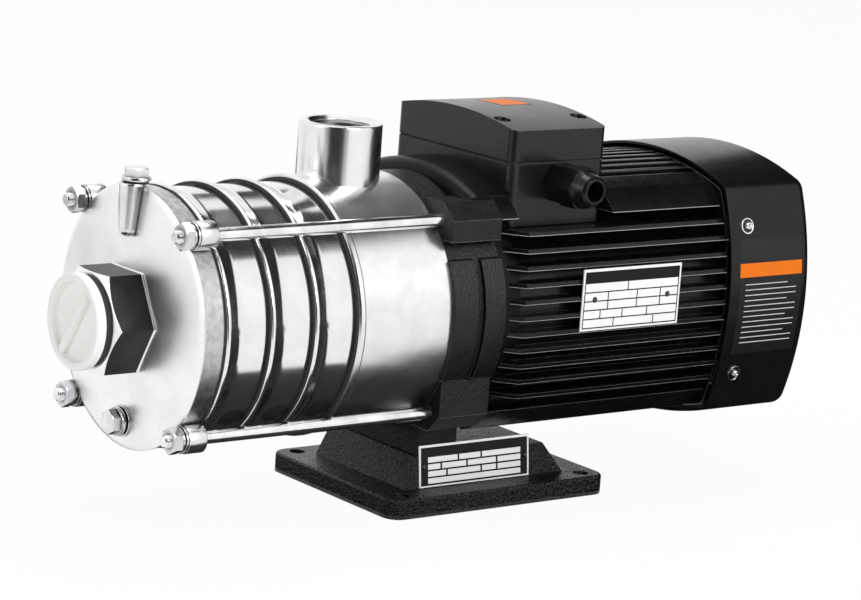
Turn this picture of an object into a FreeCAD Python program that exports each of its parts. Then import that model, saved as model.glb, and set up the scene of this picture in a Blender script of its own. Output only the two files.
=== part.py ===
import FreeCAD, Part
import math
import os
import re

import Sketcher

# Close-coupled horizontal multistage pump with its electric motor.
# The origin is the centre of the foot's bolt pattern on the foot's underside.
# +X runs along the shaft from the suction port to the motor's fan, and +Z is up.
# Stations along the shaft are measured from the suction cover's front face.

V = FreeCAD.Vector
doc = FreeCAD.newDocument("Pump")
sheet = doc.addObject("Spreadsheet::Sheet", "Sizes")

SIZES = (
    # Foot
    ("shaft_height", 110.0, "underside of the foot to the shaft axis"),
    ("foot_station", 212.5, "cover face to the middle of the foot"),
    ("foot_long", 151.5, "foot plate along the shaft"),
    ("foot_wide", 118.0, "foot plate across the shaft"),
    ("foot_plate", 11.0, "thickness of the foot plate"),
    ("foot_corner", 9.0, "corner radius of the foot plate"),
    ("foot_edge", 1.6, "rounding of the plate's top edge"),
    ("bolt_gap_long", 126.0, "foot bolt holes, centre to centre along the shaft"),
    ("bolt_gap_wide", 100.0, "foot bolt holes, centre to centre across"),
    ("bolt_hole", 9.0, "foot bolt hole diameter"),
    ("pedestal_long", 111.0, "pedestal at the plate, along the shaft"),
    ("pedestal_wide", 84.6, "pedestal at the plate, across"),
    ("pedestal_tall", 17.4, "pedestal above the plate"),
    ("pedestal_lean_front", 7.5, "how far the pedestal's front end leans in"),
    ("pedestal_lean_rear", 14.0, "how far its rear end leans in"),
    ("pedestal_lean_wide", 2.2, "how far each side leans in"),
    ("foot_wall", 6.0, "wall of the hollow casting under the pedestal"),
    # Suction cover
    ("cover_radius", 70.0, "suction cover, front edge"),
    ("cover_rear_radius", 68.4, "suction cover, rear edge of the rim"),
    ("cover_rim", 14.2, "length of the cover's rim"),
    ("cover_dome", 3.0, "height of the slightly domed front"),
    ("cover_wall", 4.5, "thickness of the cover's front wall"),
    ("hex_flats", 52.0, "suction boss across flats"),
    ("hex_tall", 20.0, "suction boss from the dome to the cap seal's seat"),
    ("nose_tall", 2.2, "turned rim round the cap seal, in front of its seat"),
    ("nose_radius", 25.4, "turned rim at its front, where the chamfer starts"),
    ("nose_slope", 0.5, "fall of that chamfer for each unit of radius"),
    ("nose_bore", 24.0, "radius of the recess that holds the cap seal"),
    ("suction_bore", 39.0, "minor diameter of the suction thread"),
    ("lug_radius", 7.6, "tie-rod lug on the cover"),
    ("lug_front", 2.0, "station of the lug's front face"),
    ("lug_long", 11.0, "length of the lug"),
    ("fill_boss_radius", 7.3, "priming boss at its top"),
    ("fill_boss_lead", 2.4, "priming boss in front of the plug's axis"),
    ("fill_boss_foot", 4.9, "priming boss at its lower end"),
    ("fill_boss_top", 71.6, "height of the boss face above the shaft"),
    ("fill_boss_long", 27.0, "length of the priming boss"),
    ("fill_bore", 8.6, "minor diameter of the priming plug's thread"),
    ("drain_height", 55.5, "drain plug below the shaft"),
    ("drain_boss_radius", 8.6, "drain plug's seat on the cover"),
    ("drain_boss_tall", 2.0, "drain plug's seat in front of the cover"),
    # Pressed stage casings
    ("stage_pitch", 27.5, "length that one stage adds"),
    ("casing_radius", 67.0, "stage casing barrel"),
    ("casing_wall", 2.0, "stage casing wall"),
    ("lip_radius", 70.0, "raised lip at the front of each casing"),
    ("lip_edge", 1.1, "round on the front edge of the lip"),
    ("lip_long", 2.5, "length of the lip's crest"),
    ("lip_blend", 7.0, "length of the slope from crest to barrel"),
    ("lip_bend", 5.2, "bend radius at both ends of that slope"),
    ("dimple_station", 19.0, "pressed dimple behind the front of each casing"),
    ("dimple_turn", 43.0, "dimple below the level of the shaft in degrees"),
    ("dimple_radius", 8.0, "dimple where it leaves the barrel"),
    ("dimple_tall", 1.3, "height of the dimple"),
    ("spigot_long", 3.4, "how far each barrel enters the next socket"),
    ("socket_long", 4.4, "depth of the socket inside each lip"),
    ("gasket_thick", 0.8, "casing gasket between two casings"),
    ("gasket_drop", 0.9, "gasket's outside below the lip"),
    ("web_thick", 1.5, "partition web of each casing"),
    ("neck_ring_wall", 2.6, "floating neck ring in each web"),
    ("fit_gap", 0.3, "radial clearance between separate curved pieces"),
    ("slip_gap", 0.05, "radial clearance of a seat on the shaft"),
    # Discharge casing
    ("outlet_radius", 70.4, "discharge casing barrel"),
    ("outlet_lip", 71.0, "front bead of the discharge casing"),
    ("outlet_lip_long", 3.2, "length of the front bead"),
    ("outlet_long", 61.3, "discharge casing, lip to rear face"),
    ("outlet_wall", 3.4, "discharge casing wall"),
    ("outlet_back", 3.6, "rear wall of the discharge casing"),
    ("port_station", 30.4, "discharge port behind the casing's lip"),
    ("port_radius", 22.75, "outside of the discharge port"),
    ("port_top", 99.4, "discharge port face above the shaft"),
    ("port_bore", 30.3, "minor diameter of the discharge thread"),
    ("port_chamfer", 1.6, "chamfer at the port's mouth"),
    ("port_edge", 1.2, "chamfer round the port's outside"),
    # Tie rods
    ("rod_gap", 106.2, "tie rods, centre to centre, both ways"),
    ("rod_radius", 3.6, "tie rod"),
    ("rod_front", 9.6, "tie rod end in front of the cover face"),
    ("rod_sunk", 16.0, "thread of the rod in the bracket"),
    ("nut_flats", 13.0, "tie-rod nut across flats"),
    ("nut_tall", 5.0, "tie-rod nut height"),
    ("washer_radius", 7.4, "flat washer under the nut"),
    ("washer_thick", 1.4, "flat washer thickness"),
    ("spring_radius", 6.6, "spring washer between washer and nut"),
    ("spring_thick", 1.6, "spring washer thickness"),
    # Motor bracket
    ("bracket_radius", 70.2, "bracket ring"),
    ("bracket_long", 35.0, "bracket, casing face to motor face"),
    ("bracket_wall", 9.0, "wall of the bracket ring"),
    ("band_proud", 2.6, "side bands stand proud of the ring"),
    ("band_half", 33.0, "half height of the side bands"),
    ("band_one", 16.2, "length of the first side band"),
    ("band_gap", 4.6, "groove between the side bands"),
    ("ear_reach", 63.0, "outer faces of the four ears"),
    ("ear_inner", 38.0, "inner faces of the four ears"),
    ("ear_low", 42.5, "lower faces of the upper ears above the shaft"),
    ("ear_high", 34.0, "upper faces of the lower ears below the shaft"),
    ("ear_chamfer", 9.0, "chamfer on each ear's outer corner"),
    ("ear_front", 1.6, "ears stand back from the casing face"),
    ("leg_front", 8.5, "front of the bracket's leg behind the casing face"),
    ("leg_long", 26.0, "length of the leg"),
    ("leg_wide", 76.0, "width of the leg"),
    ("leg_top", 45.0, "top of the leg below the shaft, inside the ring"),
    # Motor
    ("core_radius", 66.5, "motor housing under its fins"),
    ("frame_half", 75.3, "half width over the fins"),
    ("frame_bow", 130.0, "radius of the bulging sides of the finned outline"),
    ("frame_reach", 82.5, "smooth corner panels from the shaft axis"),
    ("panel_across", 41.0, "inner limit of the corner panels across"),
    ("panel_height", 53.4, "inner limit of the corner panels up and down"),
    ("wire_hole", 10.0, "wire passage under the terminal box"),
    ("frame_long", 158.0, "motor housing length"),
    ("fin_count", 11.0, "cooling fins on each side"),
    ("fin_pitch", 9.06, "side fins, centre to centre"),
    ("fin_thick", 2.4, "fin thickness"),
    ("top_fin_count", 6.0, "fins on each half of the top and bottom"),
    ("top_fin_pitch", 7.4, "top fins, centre to centre"),
    ("fin_slope", 11.0, "slope at the fins' front end"),
    ("fin_start", 2.0, "front flange of the housing before the slope"),
    ("stator_radius", 61.6, "stator core"),
    ("stator_bore", 38.6, "stator core bore"),
    ("stator_long", 70.0, "stator core length"),
    ("stator_station", 235.0, "front of the stator core"),
    ("winding_long", 17.0, "winding overhang at each end"),
    ("winding_radius", 57.0, "outside of the winding overhang"),
    ("winding_wall", 13.0, "radial depth of the winding overhang"),
    ("winding_round", 4.0, "rounding of the winding overhang"),
    ("air_gap", 0.4, "rotor to stator"),
    ("end_ring_long", 8.0, "rotor end ring"),
    ("end_ring_wall", 9.0, "radial depth of the rotor end ring"),
    ("end_ring_drop", 2.0, "end ring below the rotor's outside"),
    ("shield_thick", 5.0, "rear end shield plate"),
    ("shield_wall", 5.0, "wall of a bearing seat"),
    ("flange_long", 13.0, "front ring of the housing that takes the bracket's screws"),
    ("flange_bore", 49.0, "bore radius of that ring"),
    ("flange_screw", 39.0, "bracket screws from the shaft line, across and up"),
    ("shield_screw_across", 46.0, "rear shield screws from the shaft line, across"),
    ("shield_screw_height", 58.0, "rear shield screws above and below the shaft"),
    ("motor_screw_radius", 2.5, "motor screw"),
    ("motor_screw_bite", 11.0, "thread of a motor screw in the housing"),
    ("motor_screw_flats", 8.0, "motor screw head across flats"),
    ("motor_screw_head", 3.6, "motor screw head height"),
    # Shaft
    ("shaft_front", 6.0, "front end of the shaft"),
    ("thread_radius", 5.0, "shaft thread for the impeller nut"),
    ("pump_shaft_radius", 7.0, "shaft under the impellers"),
    ("seal_shaft_radius", 8.0, "shaft under the seal"),
    ("rotor_shaft_radius", 13.0, "shaft inside the rotor core"),
    ("front_bearing_bore", 20.0, "front bearing bore"),
    ("front_bearing_outer", 47.0, "front bearing outside diameter"),
    ("front_bearing_wide", 14.0, "front bearing width"),
    ("front_bearing_station", 199.0, "front face of the front bearing"),
    ("rear_bearing_bore", 17.0, "rear bearing bore"),
    ("rear_bearing_outer", 40.0, "rear bearing outside diameter"),
    ("rear_bearing_wide", 12.0, "rear bearing width"),
    ("rear_bearing_station", 333.0, "front face of the rear bearing"),
    ("front_race", 2.7, "race thickness of the front bearing"),
    ("rear_race", 2.3, "race thickness of the rear bearing"),
    ("front_ball", 4.6, "ball radius of the front bearing"),
    ("rear_ball", 3.9, "ball radius of the rear bearing"),
    ("cage_wide", 4.4, "width of the ball cages"),
    ("cage_wall", 1.8, "radial thickness of the ball cages"),
    ("ball_gap", 0.12, "play between ball and race"),
    ("ball_count", 7.0, "balls in each bearing"),
    ("fan_shaft_radius", 7.0, "shaft under the fan"),
    ("shaft_long", 380.0, "whole shaft"),
    # Impellers and diffusers
    ("impeller_station", 8.4, "impeller front shroud behind the casing's lip"),
    ("impeller_radius", 46.0, "impeller outside"),
    ("eye_radius", 20.5, "impeller eye"),
    ("neck_wall", 2.4, "wall of the impeller's neck"),
    ("neck_long", 4.6, "neck in front of the shroud"),
    ("shroud_thick", 1.2, "impeller shroud"),
    ("vane_wide", 5.4, "width of the impeller's passage"),
    ("vane_thick", 1.5, "vane thickness"),
    ("vane_count", 6.0, "vanes in each impeller"),
    ("vane_inner", 13.0, "inner end of the impeller vanes"),
    ("vane_offset", 24.0, "centre of the vane's arc from the shaft"),
    ("vane_arc", 29.0, "radius of the vane's arc"),
    ("hub_radius", 10.5, "impeller hub"),
    ("hub_rear", 3.0, "hub behind the rear shroud"),
    ("guide_station", 19.4, "diffuser plate behind the casing's lip"),
    ("guide_plate", 1.4, "diffuser plate thickness"),
    ("guide_radius", 57.0, "diffuser plate outside"),
    ("guide_hole", 13.0, "diffuser plate bore radius"),
    ("guide_vane_count", 7.0, "return vanes on each diffuser"),
    ("guide_vane_wide", 11.0, "return vane width"),
    ("guide_vane_inner", 27.0, "inner end of the return vanes"),
    ("guide_vane_offset", 34.0, "centre of the return vane's arc"),
    ("guide_vane_arc", 46.0, "radius of the return vane's arc"),
    ("nut_shaft_flats", 17.0, "impeller nut across flats"),
    ("nut_shaft_tall", 8.0, "impeller nut height"),
    # Shaft seal
    ("seat_radius", 17.0, "outside of the stationary seal ring's cup"),
    ("seat_long", 8.0, "stationary seal ring"),
    ("seat_ring", 13.0, "outside of the ceramic seal ring"),
    ("rotary_radius", 15.0, "outside of the rotary seal's shell"),
    ("rotary_long", 23.0, "rotary seal"),
    ("face_long", 3.0, "carbon face of the rotary seal"),
    ("face_drop", 1.0, "carbon face inside the ceramic ring's edge"),
    ("slinger_radius", 20.0, "water slinger outside"),
    ("slinger_thick", 3.0, "water slinger thickness"),
    ("slinger_station", 176.0, "front face of the slinger"),
    # Fan and fan cover
    ("fan_station", 361.0, "front face of the fan hub"),
    ("fan_radius", 60.0, "fan outside"),
    ("fan_hub", 16.0, "fan hub radius"),
    ("fan_hub_long", 18.0, "fan hub length"),
    ("fan_plate", 2.0, "fan back plate"),
    ("fan_blade_wide", 16.0, "fan blade along the shaft"),
    ("fan_blade_thick", 2.0, "fan blade thickness"),
    ("fan_blade_count", 8.0, "fan blades"),
    ("circlip_thick", 1.0, "circlip behind the fan"),
    ("circlip_wall", 3.0, "radial depth of the circlip"),
    ("cowl_station", 352.0, "front edge of the fan cover"),
    ("cowl_long", 64.0, "fan cover length"),
    ("cowl_half", 78.3, "half width of the fan cover"),
    ("cowl_bow", 175.0, "radius of the fan cover's bulging sides"),
    ("cowl_low", 75.8, "underside of the fan cover below the shaft"),
    ("cowl_low_bow", 212.0, "radius of the fan cover's bulging underside"),
    ("cowl_corner", 9.0, "corner radius of the fan cover"),
    ("cowl_wall", 1.6, "fan cover wall"),
    ("cowl_round", 8.0, "rounding of the fan cover's rear edge"),
    ("grille_ring_count", 5.0, "rings of slots in the grille"),
    ("grille_first", 18.0, "inner radius of the first slot ring"),
    ("grille_slot", 4.2, "slot width"),
    ("grille_pitch", 9.4, "slot rings, centre to centre"),
    ("grille_spokes", 8.0, "spokes across the slots"),
    ("spoke_wide", 6.0, "spoke width"),
    ("cowl_screw_back", 13.0, "fan cover screw behind the cover's edge"),
    ("cowl_screw_height", 43.0, "fan cover screws above and below the shaft"),
    ("cowl_screw_hole", 5.2, "hole for the fan cover's screw"),
    ("screw_head_radius", 4.6, "pan head of the fan cover's screw"),
    ("screw_head_top", 3.3, "top of the pan head"),
    ("screw_head_tall", 2.6, "height of the pan head"),
    ("screw_shank_radius", 2.4, "shank of the fan cover's screw"),
    ("tab_wide", 14.0, "tab that takes the fan cover's screw"),
    ("tab_thick", 5.0, "thickness of the tab"),
    ("shield_air", 2.2, "air gap between the rear shield and the fan cover"),
    # Terminal box
    ("box_station", 238.9, "middle of the terminal box"),
    ("box_long", 66.4, "terminal box along the shaft"),
    ("box_wide", 106.0, "terminal box across"),
    ("box_skirt", 46.6, "lower edge of the box above the shaft"),
    ("box_split", 81.2, "top of the box body above the shaft"),
    ("split_gap", 1.0, "seal line between box and lid"),
    ("box_wall", 3.0, "terminal box wall"),
    ("gasket_edge", 0.6, "gasket's edge inside the box's outline"),
    ("box_floor", 70.5, "floor of the box above the shaft"),
    ("box_round", 5.0, "vertical corners of the box"),
    ("lid_edge", 99.4, "top edge of the lid's long sides"),
    ("lid_crown", 105.6, "top of the lid's arch"),
    ("lid_screw_long", 54.0, "lid screws, centre to centre along the shaft"),
    ("lid_screw_wide", 68.0, "lid screws, centre to centre across"),
    ("lid_screw_radius", 2.5, "shank of a lid screw"),
    ("lid_head_radius", 4.3, "head of a lid screw"),
    ("lid_head_tall", 3.0, "height of a lid screw's head"),
    ("lid_recess_radius", 4.7, "recess over each lid screw"),
    ("lid_recess_deep", 4.2, "depth of the recess at the lid's edge"),
    ("lid_post", 6.6, "post under each lid screw"),
    ("lid_screw_bite", 6.0, "how far a lid screw enters the box"),
    # Cable gland
    ("gland_height", 70.6, "cable gland above the shaft"),
    ("gland_hole", 16.4, "hole in the box for the gland"),
    ("gland_flats", 21.6, "gland body and nut across flats"),
    ("gland_body_flats", 20.0, "hexagon of the gland body across flats"),
    ("gland_nut_hex", 13.0, "length of the nut's hexagon"),
    ("gland_nut_slope", 2.6, "slope between hexagon and nose"),
    ("gland_nut_front", 9.6, "radius in front of the slope"),
    ("gland_bore", 6.6, "bore of the gland body"),
    ("gland_sleeve", 4.4, "bore of the sealing sleeve"),
    ("gland_flange", 10.5, "hexagon of the gland body"),
    ("gland_neck", 9.0, "threaded neck between body and nut"),
    ("gland_neck_radius", 8.9, "outside of the neck"),
    ("gland_nut_long", 21.5, "length of the gland nut"),
    ("gland_mouth", 5.6, "mouth of the gland nut"),
    ("gland_nose", 7.0, "radius of the nut's nose"),
    ("gland_thread_long", 10.0, "thread through the box wall"),
    ("locknut_thick", 3.5, "locknut inside the box"),
    ("locknut_flats", 22.0, "locknut across flats"),
    # Terminal block
    ("block_long", 38.0, "terminal block along the shaft"),
    ("block_wide", 30.0, "terminal block across"),
    ("block_tall", 9.0, "terminal block height"),
    ("stud_radius", 2.0, "terminal stud"),
    ("stud_tall", 9.0, "stud above the block"),
    ("stud_pitch", 12.0, "studs, centre to centre along the shaft"),
    ("stud_row", 15.0, "rows of studs, centre to centre"),
    ("stud_nut_flats", 7.0, "stud nut across flats"),
    ("stud_nut_tall", 3.2, "stud nut height"),
    ("link_thick", 0.8, "terminal link thickness"),
    ("link_wide", 6.0, "terminal link width"),
    # Plates
    ("motor_plate_long", 71.0, "motor nameplate"),
    ("motor_plate_tall", 34.6, "motor nameplate"),
    ("motor_plate_station", 279.3, "middle of the motor nameplate"),
    ("motor_plate_height", 8.1, "middle of the plate above the shaft"),
    ("pump_plate_long", 77.0, "pump nameplate"),
    ("pump_plate_tall", 23.4, "pump nameplate"),
    ("pump_plate_station", 204.8, "middle of the pump nameplate"),
    ("pump_plate_height", 87.2, "middle of the plate below the shaft"),
    ("plate_thick", 0.8, "nameplate thickness"),
    ("rivet_radius", 1.7, "rivet head"),
    ("rivet_top", 1.0, "flat top of the rivet head"),
    ("rivet_tall", 0.8, "rivet head height"),
    ("rivet_gap_motor", 53.0, "rivets of the motor nameplate"),
    ("rivet_gap_pump", 71.0, "rivets of the pump nameplate"),
    # Plugs and transit cap
    ("plug_flats", 12.0, "plug across flats"),
    ("plug_head", 4.8, "plug hexagon height"),
    ("plug_flange", 7.7, "plug flange radius"),
    ("plug_flange_thick", 2.0, "plug flange thickness"),
    ("plug_shank", 4.0, "plug thread radius"),
    ("plug_shank_long", 9.0, "plug thread length"),
    ("seal_ring_wall", 2.2, "plug seal ring width"),
    ("seal_ring_thick", 1.0, "plug seal ring thickness"),
    ("cap_radius", 26.3, "transit cap"),
    ("cap_thick", 9.0, "transit cap flange"),
    ("cap_rim", 4.2, "raised rim of the cap"),
    ("cap_recess", 3.8, "recess of the cap's face"),
    ("cap_edge", 1.6, "bevel on the outer edge of the rim"),
    ("cap_floor", 2.2, "wall between the recess and the hollow skirt"),
    ("cap_bar_wide", 4.2, "grip bar across the recess"),
    ("cap_bar_turn", 30.0, "bar's turn from upright in degrees"),
    ("cap_skirt_long", 9.0, "threaded skirt of the cap"),
    ("cap_skirt_wall", 2.4, "wall of the cap's skirt"),
    ("cap_seal_radius", 23.6, "cap seal outside"),
    ("cap_seal_thick", 2.6, "cap seal thickness"),
    # Foot screws
    ("foot_screw_radius", 4.0, "screw that holds the bracket on the foot"),
    ("foot_screw_flats", 11.2, "head of that screw across flats"),
    ("foot_screw_head_tall", 6.0, "head height of that screw"),
    ("foot_screw_gap", 44.0, "foot screws, centre to centre across"),
    ("foot_screw_bite", 12.0, "how far the screw enters the leg"),
    ("overrun", 1.0, "how far a hole is carried past the face that it opens"),
)

for row, (alias, value, meaning) in enumerate(SIZES, start=1):
    sheet.set(f"A{row}", meaning)
    sheet.set(f"B{row}", str(value))
    sheet.setAlias(f"B{row}", alias)
doc.recompute()

NAMES = {alias for alias, value, meaning in SIZES}
STAGES = 3
QUARTERS = ((-1, -1), (-1, 1), (1, -1), (1, 1))
UP = FreeCAD.Rotation(V(0, 1, 0), -90)
NEAR = FreeCAD.Rotation(V(0, 0, 1), -90)
AHEAD = FreeCAD.Rotation(V(0, 0, 1), 180)
LEVEL = FreeCAD.Rotation()
ALONG = FreeCAD.Rotation(V(0, 1, 0), 90)
TOWARD = FreeCAD.Rotation(V(1, 0, 0), 90)
NEARLY = 0.01
nodes = {}
counter = {}


def size(formula):
    """Value of a formula of named sizes."""
    return float(sheet.evalExpression(str(formula)))


def linked(formula):
    """The same formula, read from the sheet by another object."""
    return re.sub(r"[a-z_]+", lambda word: f"Sizes.{word[0]}" if word[0] in NAMES else word[0], str(formula))


def bind(thing, field, formula):
    """Tie one property of an object to a formula of named sizes."""
    thing.setExpression(field, linked(formula))


def fresh(word):
    """A name that no other object of the document has."""
    counter[word] = counter.get(word, 0) + 1
    return f"{word}_{counter[word]}"


def place(thing, station="foot_station", across="0", height="0", turn=LEVEL):
    """Put an object at a station along the shaft and a height above the shaft."""
    thing.Placement = FreeCAD.Placement(V(), turn)
    bind(thing, "Placement.Base.x", f"{station} - foot_station")
    bind(thing, "Placement.Base.y", across)
    bind(thing, "Placement.Base.z", f"{height} + shaft_height")
    return thing


def node(thing, label):
    """Name an object as one piece of the pump."""
    thing.Label = label
    nodes[label] = thing
    return thing


def plane(body, role):
    """One origin plane of a body."""
    return next(item for item in body.Origin.OriginFeatures if item.Role == role)


def new_sketch(body, role):
    """An empty sketch on an origin plane of its own body."""
    sketch = body.newObject("Sketcher::SketchObject", fresh("Outline"))
    sketch.AttachmentSupport = (plane(body, role), [""])
    sketch.MapMode = "FlatFace"
    return sketch


def pin(sketch, geometry, point, across, up):
    """Hold one point of a sketch at two formulas from its origin."""
    for kind, formula in (("DistanceX", across), ("DistanceY", up)):
        rule = sketch.addConstraint(Sketcher.Constraint(kind, -1, 1, geometry, point, size(formula)))
        bind(sketch, f"Constraints[{rule}]", formula)


def add_polygon(sketch, corners):
    """Draw a closed outline whose corners are pairs of formulas."""
    first = sketch.GeometryCount
    spots = [V(size(across), size(up), 0) for across, up in corners]
    count = len(spots)
    for index in range(count):
        sketch.addGeometry(Part.LineSegment(spots[index], spots[(index + 1) % count]), False)
    for index in range(count):
        after = first + (index + 1) % count
        sketch.addConstraint(Sketcher.Constraint("Coincident", first + index, 2, after, 1))
    for index, (across, up) in enumerate(corners):
        pin(sketch, first + index, 1, across, up)


def add_circle(sketch, across, up, radius, helper=False):
    """Draw a circle from formulas for its centre and radius."""
    centre = V(size(across), size(up), 0)
    index = sketch.addGeometry(Part.Circle(centre, V(0, 0, 1), size(radius)), helper)
    rule = sketch.addConstraint(Sketcher.Constraint("Radius", index, size(radius)))
    bind(sketch, f"Constraints[{rule}]", radius)
    pin(sketch, index, 3, across, up)
    return index


def outline(body, role, corners):
    """A sketch that holds one closed outline."""
    sketch = new_sketch(body, role)
    add_polygon(sketch, corners)
    return sketch


def new_body(word):
    """An empty body."""
    return doc.addObject("PartDesign::Body", fresh(word))


def revolve(body, corners):
    """Turn an outline of stations and radii about the shaft line."""
    turned = body.newObject("PartDesign::Revolution", fresh("Turned"))
    turned.Profile = outline(body, "XZ_Plane", corners)
    turned.ReferenceAxis = (turned.Profile[0], ["H_Axis"])
    turned.Angle = 360
    return turned


def pad(body, sketch, length, start="0"):
    """Raise a sketch by a length, from a start distance."""
    raised = body.newObject("PartDesign::Pad", fresh("Raised"))
    raised.Profile = sketch
    bind(raised, "Length", length)
    bind(sketch, "AttachmentOffset.Base.z", start)
    return raised


def pocket(body, sketch, length, start="0"):
    """Cut a sketch from a start distance, along the sketch's own normal."""
    sunk = body.newObject("PartDesign::Pocket", fresh("Sunk"))
    sunk.Profile = sketch
    sunk.Reversed = True
    bind(sunk, "Length", length)
    bind(sketch, "AttachmentOffset.Base.z", start)
    return sunk


def polar(body, feature, count):
    """Repeat a feature round the shaft line."""
    pattern = body.newObject("PartDesign::PolarPattern", fresh("Round"))
    pattern.Originals = [feature]
    pattern.Axis = (plane_axis(body, "X_Axis"), [""])
    pattern.Angle = 360
    bind(pattern, "Occurrences", count)
    body.Tip = pattern
    return pattern


def plane_axis(body, role):
    """One origin axis of a body."""
    return next(item for item in body.Origin.OriginFeatures if item.Role == role)


def ring(label, start, length, inner, outer, station="0"):
    """A plain turned ring as a body."""
    body = new_body("Ring")
    corners = (
        ("0", inner),
        (length, inner),
        (length, outer),
        ("0", outer),
    )
    revolve(body, corners)
    place(body, f"{station} + {start}")
    return node(body, label) if label else body


def box(long, wide, tall, station, across, height):
    """A box from its size and its lowest corner."""
    block = doc.addObject("Part::Box", fresh("Block"))
    bind(block, "Length", long)
    bind(block, "Width", wide)
    bind(block, "Height", tall)
    return place(block, station, across, height)


def cylinder(radius, length, station, across="0", height="0", turn=None):
    """A cylinder, along the shaft unless it is turned."""
    round_bar = doc.addObject("Part::Cylinder", fresh("Bar"))
    bind(round_bar, "Radius", radius)
    bind(round_bar, "Height", length)
    return place(round_bar, station, across, height, ALONG if turn is None else turn)


def cone(radius_low, radius_high, length, station, across="0", height="0", turn=None):
    """A cone frustum, along the shaft unless it is turned."""
    taper = doc.addObject("Part::Cone", fresh("Taper"))
    bind(taper, "Radius1", radius_low)
    bind(taper, "Radius2", radius_high)
    bind(taper, "Height", length)
    return place(taper, station, across, height, ALONG if turn is None else turn)


def ball(radius, station, spot):
    """A ball at an offset and height from the shaft."""
    sphere = doc.addObject("Part::Sphere", fresh("Ball"))
    bind(sphere, "Radius", radius)
    return place(sphere, station, *spot)


def prism(flats, length, station, across="0", height="0", turn=None):
    """A hexagonal bar from its size across flats, along the shaft unless it is turned."""
    bar = doc.addObject("Part::Prism", fresh("Hexagon"))
    bar.Polygon = 6
    bind(bar, "Circumradius", f"({flats}) / 2 / cos(30)")
    bind(bar, "Height", length)
    return place(bar, station, across, height, ALONG if turn is None else turn)


def fuse(*things):
    """Join several objects."""
    joined = doc.addObject("Part::MultiFuse", fresh("Joined"))
    joined.Shapes = list(things)
    return joined


def common(*things):
    """Keep what several objects share."""
    shared = doc.addObject("Part::MultiCommon", fresh("Shared"))
    shared.Shapes = list(things)
    return shared


def cut(base, *tools):
    """Take tools away from a base."""
    left = doc.addObject("Part::Cut", fresh("Left"))
    left.Base = base
    left.Tool = tools[0] if len(tools) == 1 else fuse(*tools)
    return left


def group(label, things):
    """Several alike solids as one named piece."""
    together = doc.addObject("Part::Compound", fresh("Together"))
    together.Links = list(things)
    return node(together, label)


def rounded(thing, radius, wanted):
    """Round the edges that a test picks."""
    doc.recompute()
    soft = doc.addObject("Part::Fillet", fresh("Soft"))
    soft.Base = thing
    value = size(radius)
    picked = [index for index, edge in enumerate(thing.Shape.Edges, start=1) if wanted(edge)]
    soft.Edges = [(index, value, value) for index in picked]
    return soft


def bevelled(thing, reach, wanted):
    """Chamfer the edges that a test picks."""
    doc.recompute()
    sharp = doc.addObject("Part::Chamfer", fresh("Bevel"))
    sharp.Base = thing
    value = size(reach)
    picked = [index for index, edge in enumerate(thing.Shape.Edges, start=1) if wanted(edge)]
    sharp.Edges = [(index, value, value) for index in picked]
    return sharp


def runs_along(edge, way):
    """Whether a straight edge runs along a direction."""
    if edge.Curve.TypeId != "Part::GeomLine":
        return False
    ends = edge.Vertexes[1].Point - edge.Vertexes[0].Point
    return abs(ends.normalize().dot(way)) > math.cos(math.radians(1))


def is_rim(edge, station, radius):
    """Whether an edge is a circle round the shaft, of a radius and at a station."""
    if edge.Curve.TypeId != "Part::GeomCircle":
        return False
    along = size(station) - size("foot_station")
    return abs(edge.Curve.Radius - size(radius)) < NEARLY and abs(edge.Curve.Center.x - along) < NEARLY


def bulged_bar(half, bow, length, station, low=None, low_bow=None):
    """A bar round the shaft whose four sides bulge outwards, with its own underside if wanted."""
    offset = f"({bow}) - ({half})"
    low_offset = f"({low_bow}) - ({low})" if low else offset
    bars = [cylinder(bow, length, station, f"{side} * ({offset})", "0") for side in (-1, 1)]
    bars.append(cylinder(bow, length, station, "0", f"-({offset})"))
    bars.append(cylinder(low_bow or bow, length, station, "0", low_offset))
    return common(*bars)


def soft_corners(bar, radius):
    """Round the long edges of a bar."""
    return rounded(bar, radius, lambda edge: runs_along(edge, V(1, 0, 0)))


def lip_station(stage):
    """Station of a casing's front lip; the discharge casing follows the last stage."""
    return f"cover_rim + gasket_thick + {stage} * stage_pitch"


OUTLET = lip_station(STAGES)
OUTLET_END = f"{OUTLET} + outlet_long"
FRAME = f"{OUTLET_END} + bracket_long"
LEG_FOOT = "foot_plate + pedestal_tall - shaft_height"
LEG_MIDDLE = f"{OUTLET_END} + leg_front + leg_long / 2"
FOOT_SCREWS = ("-foot_screw_gap / 2", "foot_screw_gap / 2")
LID_RISE = "(lid_crown - lid_edge)"
LID_ARCH = f"((box_wide / 2) ^ 2 + {LID_RISE} ^ 2) / 2 / {LID_RISE}"
LID_SEAT = f"lid_crown - {LID_ARCH} + sqrt(({LID_ARCH}) ^ 2 - (lid_screw_wide / 2) ^ 2) - lid_recess_deep"
CASING_BORE = "casing_radius - casing_wall"
DIMPLE_REACH = "(casing_radius + dimple_tall - (dimple_radius ^ 2 + dimple_tall ^ 2) / 2 / dimple_tall)"
DIMPLE_SPOT = (f"-{DIMPLE_REACH} * cos(dimple_turn)", f"-{DIMPLE_REACH} * sin(dimple_turn)")


# Suction end

def rod_spots():
    """Offset and height of each tie rod."""
    return [(f"{side} * rod_gap / 2", f"{rise} * rod_gap / 2") for side, rise in QUARTERS]


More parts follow.
